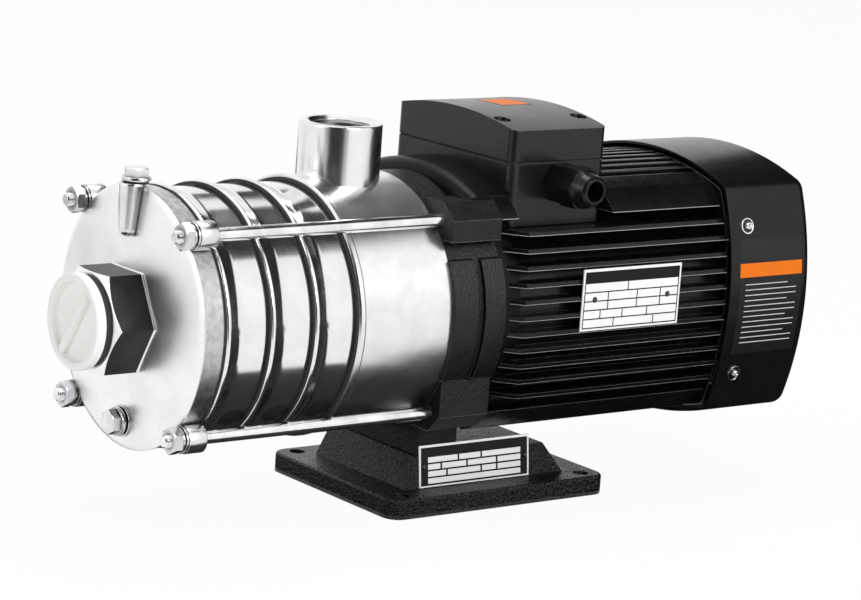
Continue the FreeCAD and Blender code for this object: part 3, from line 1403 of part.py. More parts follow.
def rear_end_shield():
    """Rear shield with its bearing seat, spigot and tabs for the fan cover."""
    start = f"{FRAME} + frame_long"
    air = "cowl_wall - shield_air"
    disc = bulged_bar(f"cowl_half - {air}", f"cowl_bow - {air}", "shield_thick", start, f"cowl_low - {air}",
                      f"cowl_low_bow - {air}")
    disc = soft_corners(disc, f"cowl_corner - {air}")
    seat_start = "rear_bearing_station"
    seat = cylinder("rear_bearing_outer / 2 + shield_wall", f"{start} + shield_thick - ({seat_start})", seat_start)
    spigot = cylinder("stator_radius", "2 * shield_thick", f"{start} - 2 * shield_thick")
    spigot_hole = cylinder("stator_radius - shield_wall", "2 * shield_thick", f"{start} - 2 * shield_thick")
    solid = fuse(disc, cut(spigot, spigot_hole), seat)
    tabs = []
    tools = []
    inside = "cowl_bow - cowl_wall - fit_gap"
    station = "cowl_station + cowl_screw_back"
    for side, rise in QUARTERS:
        way = screw_turn(side, rise)
        spot = screw_place(side, rise, f"{inside} - tab_thick", "-tab_wide / 2")
        tab = box(f"cowl_screw_back + tab_wide / 2 - ({start}) + cowl_station", "tab_wide", "tab_thick", start, *spot)
        place(tab, start, *spot, way)
        tabs.append(tab)
        spot = screw_place(side, rise, f"{inside} - 2 * tab_thick")
        tools.append(cylinder("screw_shank_radius + slip_gap", "4 * tab_thick", station, *spot, way))
    within = bulged_bar("cowl_half - cowl_wall - fit_gap", inside, "frame_long", "cowl_station")
    solid = fuse(solid, common(fuse(*tabs), within))
    tools.append(cylinder("rear_bearing_outer / 2 + slip_gap", "rear_bearing_wide + overrun",
                          f"{seat_start} - overrun"))
    tools.append(cylinder("rear_bearing_outer / 2 - shield_wall", "frame_long", seat_start))
    for spot in shield_spots():
        tools.append(cylinder("motor_screw_radius + fit_gap", "4 * shield_thick", f"{start} - shield_thick", *spot))
    return node(cut(solid, *tools), "rear_end_shield")


def fan():
    """Radial fan: hub, back plate and straight blades."""
    body = new_body("Fan")
    bore = "fan_shaft_radius + slip_gap"
    revolve(body, (
        ("0", bore),
        ("0", "fan_radius"),
        ("fan_plate", "fan_radius"),
        ("fan_plate", "fan_hub"),
        ("fan_hub_long", "fan_hub - fan_plate"),
        ("fan_hub_long", bore),
    ))
    blade = outline(body, "YZ_Plane", (
        ("fan_hub - fan_plate", "-fan_blade_thick / 2"),
        ("fan_radius", "-fan_blade_thick / 2"),
        ("fan_radius", "fan_blade_thick / 2"),
        ("fan_hub - fan_plate", "fan_blade_thick / 2"),
    ))
    raised = pad(body, blade, "fan_blade_wide", "fan_plate / 2")
    polar(body, raised, "fan_blade_count")
    node(place(body, "fan_station"), "cooling_fan")
    station = "fan_station + fan_hub_long"
    ring("fan_circlip", station, "circlip_thick", bore, "fan_shaft_radius + circlip_wall")


def grille_slots():
    """Rings of slots, broken by spokes."""
    rear = "cowl_station + cowl_long - 2 * cowl_wall"
    rings = []
    for index in range(int(size("grille_ring_count"))):
        inner = f"grille_first + {index} * grille_pitch"
        outer_bar = cylinder(f"{inner} + grille_slot", "4 * cowl_wall", rear)
        inner_bar = cylinder(inner, "4 * cowl_wall", rear)
        rings.append(cut(outer_bar, inner_bar))
    spokes = []
    count = int(size("grille_spokes"))
    for index in range(count // 2):
        spoke = doc.addObject("Part::Box", fresh("Spoke"))
        bind(spoke, "Length", "6 * cowl_wall")
        bind(spoke, "Width", "spoke_wide")
        bind(spoke, "Height", "4 * fan_radius")
        centre = V(0, -size("spoke_wide") / 2, -2 * size("fan_radius"))
        turn = FreeCAD.Rotation(V(1, 0, 0), 180 * index / (count // 2) + 90 / (count // 2))
        moved = turn.multVec(centre)
        spoke.Placement = FreeCAD.Placement(V(0, moved.y, moved.z + size("shaft_height")), turn)
        bind(spoke, "Placement.Base.x", f"{rear} - cowl_wall - foot_station")
        spokes.append(spoke)
    return cut(fuse(*rings), *spokes)


def fan_cover():
    """Bulging square cover with a slotted rear grille and side screw holes."""
    solid = bulged_bar("cowl_half", "cowl_bow", "cowl_long", "cowl_station", "cowl_low", "cowl_low_bow")
    solid = soft_corners(solid, "cowl_corner")
    rear = size("cowl_station + cowl_long - foot_station")
    solid = rounded(solid, "cowl_round", lambda edge: abs(edge.CenterOfMass.x - rear) < NEARLY)
    inside = bulged_bar("cowl_half - cowl_wall", "cowl_bow - cowl_wall", "cowl_long", "cowl_station - cowl_wall",
                        "cowl_low - cowl_wall", "cowl_low_bow - cowl_wall")
    inside = soft_corners(inside, "cowl_corner - cowl_wall")
    inner_rear = size("cowl_station - cowl_wall + cowl_long - foot_station")
    inside = rounded(inside, "cowl_round - cowl_wall", lambda edge: abs(edge.CenterOfMass.x - inner_rear) < NEARLY)
    tools = [inside, grille_slots()]
    station = "cowl_station + cowl_screw_back"
    for side, rise in QUARTERS:
        spot = screw_place(side, rise, "cowl_bow - 2 * cowl_wall")
        tools.append(cylinder("cowl_screw_hole / 2", "4 * cowl_wall", station, *spot, screw_turn(side, rise)))
    return node(cut(solid, *tools), "fan_cover")


def fan_cover_screws():
    """Four pan-head screws in the sides of the fan cover."""
    screws = []
    station = "cowl_station + cowl_screw_back"
    for side, rise in QUARTERS:
        way = screw_turn(side, rise)
        length = "cowl_wall + fit_gap + tab_thick"
        spot = screw_place(side, rise, f"cowl_bow - ({length})")
        shank = cylinder("screw_shank_radius", length, station, *spot, way)
        head = cone("screw_head_radius", "screw_head_top", "screw_head_tall", station,
                    *screw_place(side, rise, "cowl_bow"), way)
        screws.append(fuse(shank, head))
    return group("fan_cover_screws", screws)


def motor():
    """Housing, stator, rear shield, fan and fan cover."""
    motor_housing()
    stator()
    rear_end_shield()
    motor_screws()
    fan()
    fan_cover()
    fan_cover_screws()


# Terminal box

def box_bar(long, wide, low, high, corner):
    """A block with rounded upright corners about the middle of the terminal box."""
    block = box(long, wide, f"({high}) - ({low})", f"box_station - ({long}) / 2", f"-({wide}) / 2", low)
    return rounded(block, corner, lambda edge: runs_along(edge, V(0, 0, 1)))


def lid_spots():
    """Station and offset of each lid screw."""
    return [(f"box_station + {side} * lid_screw_long / 2", f"{rise} * lid_screw_wide / 2")
            for side, rise in QUARTERS]


def terminal_box():
    """Box body that saddles the housing, open at its top, with the gland's hole."""
    solid = box_bar("box_long", "box_wide", "box_skirt", "box_split", "box_round")
    saddle = cylinder("core_radius + fit_gap", "2 * box_long", "box_station - box_long")
    room = box_bar("box_long - 2 * box_wall", "box_wide - 2 * box_wall", "box_skirt - overrun",
                   "box_split + overrun", "box_round - box_wall / 2")
    floor = cylinder("core_radius + fit_gap + box_wall", "2 * box_long", "box_station - box_long")
    seat = box("block_long + 2 * box_wall", "block_wide + 2 * box_wall", "2 * box_wall",
               "box_station - block_long / 2 - box_wall", "-block_wide / 2 - box_wall", "box_floor - 2 * box_wall")
    posts = [cylinder("lid_post", "box_split - box_skirt", station, across, "box_skirt", LEVEL)
             for station, across in lid_spots()]
    within = box_bar("box_long - box_wall", "box_wide - box_wall", "box_skirt", "box_split", "box_round - box_wall / 2")
    shell = fuse(cut(solid, cut(room, floor)), common(fuse(*posts), within), seat)
    side_hole = cylinder("gland_hole / 2 + fit_gap", "4 * box_wall", "box_station", "-box_wide / 2 + 2 * box_wall",
                         "gland_height", TOWARD)
    tools = [saddle, side_hole]
    for station, across in lid_spots():
        tools.append(cylinder("lid_screw_radius + fit_gap", "lid_screw_bite + 2 * overrun", station, across,
                              "box_split - lid_screw_bite - overrun", LEVEL))
    tools.append(cylinder("wire_hole", "box_floor", "box_station", "0", "0", LEVEL))
    return node(cut(shell, *tools), "terminal_box")


def box_gasket():
    """Flat gasket between the box and its lid."""
    outer = box_bar("box_long - 2 * gasket_edge", "box_wide - 2 * gasket_edge", "box_split",
                    "box_split + split_gap", "box_round - gasket_edge")
    inner = box_bar("box_long - 2 * box_wall", "box_wide - 2 * box_wall", "box_split - overrun",
                    "box_split + split_gap + overrun", "box_round - box_wall / 2")
    tools = [inner]
    for station, across in lid_spots():
        tools.append(cylinder("lid_screw_radius + fit_gap", "box_split", station, across, "box_split - overrun",
                              LEVEL))
    return node(cut(outer, *tools), "box_gasket")


def terminal_box_lid():
    """Arched lid, hollow underneath, with four recessed screw seats."""
    low = "box_split + split_gap"
    block = box_bar("box_long", "box_wide", low, "lid_crown + overrun", "box_round")
    roof = cylinder(LID_ARCH, "2 * box_long", "box_station - box_long", "0", f"lid_crown - {LID_ARCH}")
    outside = common(block, roof)
    room_block = box_bar("box_long - 2 * box_wall", "box_wide - 2 * box_wall", f"{low} - overrun", "lid_crown",
                         "box_round - box_wall / 2")
    room_roof = cylinder(f"{LID_ARCH} - box_wall", "2 * box_long", "box_station - box_long", "0",
                         f"lid_crown - {LID_ARCH}")
    posts = [cylinder("lid_post", f"lid_crown - ({low})", station, across, low, LEVEL)
             for station, across in lid_spots()]
    solid = fuse(cut(outside, common(room_block, room_roof)), common(fuse(*posts), outside))
    tools = []
    for station, across in lid_spots():
        tools.append(cylinder("lid_screw_radius + fit_gap", "2 * lid_crown", station, across, f"{low} - overrun",
                              LEVEL))
        tools.append(cylinder("lid_recess_radius", "lid_crown", station, across, LID_SEAT, LEVEL))
    return node(cut(solid, *tools), "terminal_box_lid")


def lid_screws():
    """Four captive screws in the lid's recesses."""
    screws = []
    for station, across in lid_spots():
        shank = cylinder("lid_screw_radius", f"{LID_SEAT} - box_split + lid_screw_bite", station, across,
                         "box_split - lid_screw_bite", LEVEL)
        head = cylinder("lid_head_radius", "lid_head_tall", station, across, LID_SEAT, LEVEL)
        screws.append(fuse(shank, head))
    return group("lid_screws", screws)


def hexagon(flats):
    """Corners of a hexagon from its size across flats."""
    corner = f"({flats}) / 2 / cos(30)"
    return [(f"{corner} * cos({60 * k})", f"{corner} * sin({60 * k})") for k in range(6)]


def terminals():
    """Terminal block with six studs, their nuts and the bridging links."""
    top = "box_floor + block_tall"
    block = box("block_long", "block_wide", "block_tall", "box_station - block_long / 2", "-block_wide / 2",
                "box_floor")
    studs = []
    links = []
    holes = []
    for column in (-1, 0, 1):
        station = f"box_station + {column} * stud_pitch"
        for row in (-1, 1):
            across = f"{row} * stud_row / 2"
            stud = cylinder("stud_radius", "stud_tall + block_tall / 2", station, across, f"{top} - block_tall / 2",
                            LEVEL)
            holes.append(cylinder("stud_radius + slip_gap", "block_tall", station, across,
                                  f"{top} - block_tall / 2", LEVEL))
            nut = prism("stud_nut_flats", "stud_nut_tall", station, across, f"{top} + link_thick", LEVEL)
            studs.append(fuse(stud, nut))
        bar = box("link_wide", "stud_row + link_wide", "link_thick", f"{station} - link_wide / 2",
                  "-(stud_row + link_wide) / 2", top)
        way = [cylinder("stud_radius + slip_gap", "4 * link_thick", station, f"{row} * stud_row / 2",
                        f"{top} - link_thick", LEVEL) for row in (-1, 1)]
        links.append(cut(bar, *way))
    node(cut(block, *holes), "terminal_block")
    group("terminal_studs", studs)
    group("terminal_links", links)


def gland():
    """Cable gland: body, sealing sleeve, nut and locknut."""
    wall = "-box_wide / 2"
    body = new_body("Gland")
    tip = "gland_flange + gland_neck"
    inner = "-gland_thread_long"
    revolve(body, (
        (inner, "gland_bore"),
        (inner, "gland_hole / 2"),
        ("0", "gland_hole / 2"),
        ("0", "gland_body_flats / 2"),
        ("gland_flange", "gland_body_flats / 2"),
        ("gland_flange", "gland_neck_radius"),
        (tip, "gland_neck_radius"),
        (tip, "gland_bore"),
    ))
    flange = new_sketch(body, "YZ_Plane")
    add_polygon(flange, hexagon("gland_body_flats"))
    add_circle(flange, "0", "0", "gland_neck_radius - overrun")
    pad(body, flange, "gland_flange")
    node(place(body, "box_station", wall, "gland_height", NEAR), "gland_body")
    nut = new_body("GlandNut")
    revolve(nut, (
        ("0", "gland_neck_radius + fit_gap"),
        ("0", "gland_flats / 2"),
        ("gland_nut_hex", "gland_flats / 2"),
        ("gland_nut_hex + gland_nut_slope", "gland_nut_front"),
        ("gland_nut_long - gland_nut_slope / 2", "gland_nut_front - gland_nut_slope / 2"),
        ("gland_nut_long", "gland_nose"),
        ("gland_nut_long", "gland_mouth"),
        ("gland_neck + overrun", "gland_mouth"),
        ("gland_neck + overrun", "gland_neck_radius + fit_gap"),
    ))
    grip = new_sketch(nut, "YZ_Plane")
    add_polygon(grip, hexagon("gland_flats"))
    add_circle(grip, "0", "0", "gland_neck_radius + fit_gap")
    pad(nut, grip, "gland_nut_hex")
    node(place(nut, "box_station", f"{wall} - gland_flange - fit_gap", "gland_height", NEAR), "gland_nut")
    sleeve = new_body("Sleeve")
    outer = "gland_bore - slip_gap"
    revolve(sleeve, (
        ("0", "gland_sleeve"),
        ("0", outer),
        (tip, outer),
        (tip, "gland_sleeve"),
    ))
    node(place(sleeve, "box_station", f"{wall} - fit_gap", "gland_height", NEAR), "gland_seal")
    locknut = prism("locknut_flats", "locknut_thick", "box_station", f"{wall} + box_wall + locknut_thick",
                    "gland_height", TOWARD)
    way = cylinder("gland_hole / 2 + slip_gap", "4 * locknut_thick", "box_station",
                   f"{wall} + box_wall + 3 * locknut_thick", "gland_height", TOWARD)
    node(cut(locknut, way), "gland_locknut")


# Plates

def plate(label, long, tall, station, height, face, lean, gap):
    """Nameplate that leans out at its foot, and the heads of its two rivets."""
    turn = FreeCAD.Rotation(V(1, 0, 0), -math.degrees(lean))
    body = new_body("Plate")
    pad(body, outline(body, "XZ_Plane", rectangle(long, tall)), "plate_thick")
    node(place(body, station, face, height, turn), label)
    heads = []
    out = f"plate_thick * {math.cos(lean)}"
    dip = f"plate_thick * {math.sin(lean)}"
    for side in (-1, 1):
        heads.append(cone("rivet_radius", "rivet_top", "rivet_tall", f"{station} + {side} * {gap} / 2",
                          f"{face} - {out}", f"{height} + {dip}", turn.multiply(TOWARD)))
    return heads


def plates():
    """Nameplates of the motor and of the pump, with their rivets."""
    heads = plate("motor_nameplate", "motor_plate_long", "motor_plate_tall", "motor_plate_station",
                  "motor_plate_height", "-frame_half", 0.0, "rivet_gap_motor")
    lean = math.atan(size("pedestal_lean_wide / pedestal_tall"))
    rise = "(shaft_height - foot_plate - pump_plate_height)"
    side = f"-pedestal_wide / 2 + pedestal_lean_wide * {rise} / pedestal_tall"
    heads += plate("pump_nameplate", "pump_plate_long", "pump_plate_tall", "pump_plate_station",
                   "-pump_plate_height", side, lean, "rivet_gap_pump")
    group("nameplate_rivets", heads)


suction_end()
stages()
discharge_casing()
tie_rods()
motor_bracket()
foot()
foot_screws()
shaft_line()
motor()
terminal_box()
box_gasket()
terminal_box_lid()
lid_screws()
terminals()
gland()
plates()
doc.recompute()

for thing in doc.Objects:
    if "Invalid" in thing.State or "Error" in thing.State:
        raise RuntimeError(f"{thing.Name} ({thing.Label}) did not build: {thing.State}")
for label, thing in nodes.items():
    if thing.Shape.isNull() or not thing.Shape.isValid() or not thing.Shape.Solids:
        raise RuntimeError(f"{label} has no valid solid")

os.makedirs("parts", exist_ok=True)
for label, thing in nodes.items():
    thing.Shape.exportStep(f"parts/{label}.step")
print(len(nodes), "pieces written")
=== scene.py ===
"""A close-coupled horizontal multistage pump: stainless stages, finned black motor, cast foot."""

import logging
import math
from collections.abc import Callable, Iterable, Sequence
from dataclasses import dataclass
from enum import Enum

import bmesh
import bpy
from mathutils import Euler, Matrix, Vector


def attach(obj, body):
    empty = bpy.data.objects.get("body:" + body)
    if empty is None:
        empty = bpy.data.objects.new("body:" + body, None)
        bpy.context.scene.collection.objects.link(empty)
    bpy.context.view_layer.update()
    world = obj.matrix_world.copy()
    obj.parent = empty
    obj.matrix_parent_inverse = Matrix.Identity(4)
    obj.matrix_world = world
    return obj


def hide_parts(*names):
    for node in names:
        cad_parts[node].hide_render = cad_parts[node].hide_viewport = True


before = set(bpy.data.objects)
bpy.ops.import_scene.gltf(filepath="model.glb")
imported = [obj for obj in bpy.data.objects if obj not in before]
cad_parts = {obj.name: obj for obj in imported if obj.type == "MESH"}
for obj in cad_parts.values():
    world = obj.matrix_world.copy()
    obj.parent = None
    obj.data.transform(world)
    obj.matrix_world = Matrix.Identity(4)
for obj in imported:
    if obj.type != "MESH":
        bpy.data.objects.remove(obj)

LOG = logging.getLogger("pump")
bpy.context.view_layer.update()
MM = 0.001
FULL_TURN = 2 * math.pi
# Sizes of the pump are in millimetres, places and sizes in the studio in metres.
# The foot's middle along the shaft, and the shaft's height above the floor.
FOOT_STATION = 212.5
SHAFT_HEIGHT = 110.0
# Side and height of the rods and of the fan cover's screws.
QUARTERS = ((-1, 1), (1, 1), (-1, -1), (1, -1))
# From one tie rod to the next, across and up.
ROD_GAP = 106.2
# The bowed side of the fan cover: its offset at shaft height and the radius of its bow.
COWL_HALF = 78.3
COWL_BOW = 175.0
# Facets of a full turn on large, middle-sized and small round pieces.
LARGE_STEPS = 256
BOSS_STEPS = 240
CAP_STEPS = 160
PLUG_STEPS = 72
WASHER_STEPS = 64
SCREW_STEPS = 48
# Two corners closer than this, in millimetres, are one.
WELD = 1e-4
# Angle in degrees past which an edge is rounded.
CORNER = 28.0

Colour = tuple[float, float, float]
Point = tuple[float, float, float]
Profile = Sequence[tuple[float, float]]

ORIGIN: Point = (0.0, 0.0, 0.0)
EVEN: Point = (1.0, 1.0, 1.0)


class Grain(Enum):
    """The fine relief of a surface, by the way it was made."""

    BLASTED = "blasted"
    CAST = "cast"
    TURNED = "turned"
    DRAWN = "drawn"
    UPRIGHT = "upright"

    @property
    def stretch(self) -> Point:
        """Scale of the pattern along the shaft, across and up."""
        lines = {Grain.TURNED: (1.0, 0.015, 0.015), Grain.DRAWN: (0.012, 1.0, 1.0), Grain.UPRIGHT: (0.02, 1.0, 0.02)}
        return lines.get(self, EVEN)


class Axis(Enum):
    """The way a turned shape points."""

    SHAFT = Matrix.Identity(3)
    UP = Matrix(((0, 0, -1), (0, 1, 0), (1, 0, 0)))
    NEAR = Matrix(((0, 1, 0), (-1, 0, 0), (0, 0, 1)))
    FAR = Matrix(((0, -1, 0), (1, 0, 0), (0, 0, 1)))
    AHEAD = Matrix(((-1, 0, 0), (0, -1, 0), (0, 0, 1)))


class Graph:
    """The node tree of one material, read on the object's own coordinates in metres."""

    def __init__(self, name: str) -> None:
        """Starts a material with one glossy shader.

        Args:
            name: The material's name.
        """
        self.material = bpy.data.materials.new(name)
        self.material.use_nodes = True
        self.tree = self.material.node_tree
        self.shader = self.tree.nodes["Principled BSDF"]
        self.place = self.add("ShaderNodeTexCoord").outputs["Object"]

    def add(self, kind: str, **settings: object) -> bpy.types.Node:
        """Adds a node.

        Args:
            kind: The node's type.
            **settings: Properties, or values and links of the inputs by name.

        Returns:
            The new node.
        """
        node = self.tree.nodes.new(kind)
        for key, value in settings.items():
            if hasattr(node, key):
                setattr(node, key, value)
            else:
                self.feed(node.inputs[key.replace("_", " ")], value)
        return node

    def feed(self, socket: bpy.types.NodeSocket, value: object) -> None:
        """Links a socket to another one, or gives it a value.

        Args:
            socket: The input socket.
            value: An output socket or a plain value.
        """
        if isinstance(value, bpy.types.NodeSocket):
            self.tree.links.new(value, socket)
        else:
            socket.default_value = value

    def stretched(self, stretch: Point) -> bpy.types.NodeSocket:
        """Object coordinates scaled along each axis.

        Args:
            stretch: Scale along the shaft, across and up.

        Returns:
            The scaled vector.
        """
        return self.add("ShaderNodeMapping", vector_type="TEXTURE", Vector=self.place,
                        Scale=tuple(1 / value for value in stretch)).outputs["Vector"]

    def noise(self, spread: float, detail: float = 4.0, stretch: Point = EVEN) -> bpy.types.NodeSocket:
        """Cloudy noise of a given size.

        Args:
            spread: Size of its patches in millimetres.
            detail: Number of finer layers.
            stretch: Scale of the pattern along each axis.

        Returns:
            A value around one half.
        """
        return self.add("ShaderNodeTexNoise", Vector=self.stretched(stretch), Scale=1 / (spread * MM),
                        Detail=detail, Roughness=0.55).outputs["Fac"]

    def cells(self, spread: float) -> bpy.types.NodeSocket:
        """Smooth pebble-like cells of a given size in millimetres."""
        return self.add("ShaderNodeTexVoronoi", feature="SMOOTH_F1", Vector=self.place,
                        Scale=1 / (spread * MM), Smoothness=0.6).outputs["Distance"]

    def between(self, source: bpy.types.NodeSocket, low: float, high: float,
                start: float = 0.35, end: float = 0.65) -> bpy.types.NodeSocket:
        """Maps a value onto another range.

        Args:
            source: The value to map.
            low: What it becomes at the start.
            high: What it becomes at the end.
            start: Where the change starts.
            end: Where it ends.

        Returns:
            The mapped value.
        """
        return self.add("ShaderNodeMapRange", Value=source, From_Min=start, From_Max=end,
                        To_Min=low, To_Max=high).outputs["Result"]

    def blend(self, share: bpy.types.NodeSocket | float, first: Colour | bpy.types.NodeSocket,
              second: Colour | bpy.types.NodeSocket, way: str = "MIX") -> bpy.types.NodeSocket:
        """Mixes two colours.

        Args:
            share: How much of the second one.
            first: A colour, or the socket that gives it.
            second: The other colour, or its socket.
            way: How they mix.

        Returns:
            The mixed colour.
        """
        mix = self.add("ShaderNodeMix", data_type="RGBA", blend_type=way)
        self.feed(mix.inputs["Factor"], share)
        for name, value in (("A", first), ("B", second)):
            self.feed(mix.inputs[name], (*value, 1.0) if isinstance(value, tuple) else value)
        return mix.outputs["Result"]

    def total(self, first: bpy.types.NodeSocket, second: bpy.types.NodeSocket | float,
              operation: str = "ADD") -> bpy.types.NodeSocket:
        """Combines two values by one operation.

        Args:
            first: The first value.
            second: The second value.
            operation: The operation, a sum unless another is named.

        Returns:
            The result.
        """
        node = self.add("ShaderNodeMath", operation=operation)
        self.feed(node.inputs[0], first)
        self.feed(node.inputs[1], second)
        return node.outputs[0]


@dataclass(frozen=True)
class Finish:
    """A surface finish with its colour, gloss and relief. Lengths are in millimetres.

    Attributes:
        name: The material's name.
        slot: Name of the part's own material slot; not used.
        colour: Its colour.
        gloss: The lowest and the highest roughness.
        metallic: 1 for bare metal.
        specular: Strength of the plain reflection.
        fade: How far the colour goes up and down in its clouds.
        patch: Size of the clouds.
        grain: The kind of fine relief.
        size: Size of the grain.
        depth: Height of the grain.
        edge: Radius that sharp edges seem to have.
        waves: Height of broad waves.
        milky: Share of light that passes through.
        corner_shade: Reach of the painted shade, an ambient-occlusion darkening of the colour in corners and between
            parts.
        lower_edge_highlight: Tone of the painted highlight on lower edges, standing in for light from the floor.
    """

    name: str
    slot: str
    colour: Colour
    gloss: tuple[float, float]
    metallic: float = 0.0
    specular: float = 0.5
    fade: float = 0.12
    patch: float = 14.0
    grain: Grain = Grain.BLASTED
    size: float = 0.5
    depth: float = 0.006
    edge: float = 0.3
    waves: float = 0.0
    milky: float = 0.0
    corner_shade: float = 0.0
    lower_edge_highlight: float = 0.0

    def material(self) -> bpy.types.Material:
        """Builds the material once and then returns the same one."""
        known = bpy.data.materials.get(self.name)
        if known is not None:
            return known
        graph = Graph(self.name)
        clouds = graph.noise(self.patch)
        fine = graph.noise(self.size, 3.0, self.grain.stretch)
        inputs = graph.shader.inputs
        graph.feed(inputs["Base Color"], self.tint(graph, clouds))
        smear = graph.total(graph.between(clouds, 0.0, 0.5), graph.between(fine, 0.0, 0.5))
        graph.feed(inputs["Roughness"], graph.between(smear, *self.gloss, 0.0, 1.0))
        graph.feed(inputs["Normal"], self.relief(graph, fine))
        inputs["Metallic"].default_value = self.metallic
        inputs["Specular IOR Level"].default_value = self.specular
        if self.milky:
            inputs["Subsurface Weight"].default_value = self.milky
            inputs["Subsurface Radius"].default_value = (0.004, 0.004, 0.0035)
        return graph.material

    def tint(self, graph: Graph, clouds: bpy.types.NodeSocket) -> bpy.types.NodeSocket:
        """The clouded colour with its painted corner shade and its painted highlight on lower edges.

        Args:
            graph: The material's nodes.
            clouds: The clouds.

        Returns:
            The colour.
        """
        dull = tuple(value * (1 - self.fade) for value in self.colour)
        bright = tuple(min(1.0, value * (1 + self.fade)) for value in self.colour)
        colour = graph.blend(graph.between(clouds, 0.0, 1.0), dull, bright)
        # Painted shade: ambient occlusion darkens the colour in corners, creases and between parts.
        if self.corner_shade:
            corner = graph.add("ShaderNodeAmbientOcclusion", samples=6, Distance=self.corner_shade * MM, Color=colour)
            colour = graph.blend(1.0, colour, graph.total(corner.outputs["AO"], 2.0, "POWER"), "MULTIPLY")
        # Painted highlight: where the rounded normal turns further down than the face, at lower edges, the colour is
        # lightened as if lit from the floor.
        if self.lower_edge_highlight:
            rounded = graph.add("ShaderNodeBevel", samples=6, Radius=0.6 * MM).outputs["Normal"]
            flat = graph.add("ShaderNodeNewGeometry").outputs["Normal"]
            heights = [graph.add("ShaderNodeSeparateXYZ", Vector=normal).outputs["Z"] for normal in (flat, rounded)]
            lit_lower_edge = graph.between(graph.total(*heights, "SUBTRACT"), 0.0, 1.0, 0.10, 0.45)
            colour = graph.blend(lit_lower_edge, colour, (self.lower_edge_highlight, self.lower_edge_highlight, self.lower_edge_highlight))
        return colour

    def relief(self, graph: Graph, fine: bpy.types.NodeSocket) -> bpy.types.NodeSocket:
        """The rounded edges, the waves and the grain.

        Args:
            graph: The material's nodes.
            fine: The grain's noise.

        Returns:
            The surface normal.
        """
        height = fine
        if self.grain is Grain.CAST:
            height = graph.total(graph.cells(self.size * 2.2), graph.between(fine, 0.0, 0.6))
        normal = graph.add("ShaderNodeBevel", samples=6, Radius=self.edge * MM).outputs["Normal"]
        if self.waves:
            normal = graph.add("ShaderNodeBump", Strength=1.0, Distance=self.waves * MM, Normal=normal,
                               Height=graph.noise(11.0, 1.0)).outputs["Normal"]
        return graph.add("ShaderNodeBump", Strength=1.0, Distance=self.depth * MM, Normal=normal,
                         Height=height).outputs["Normal"]


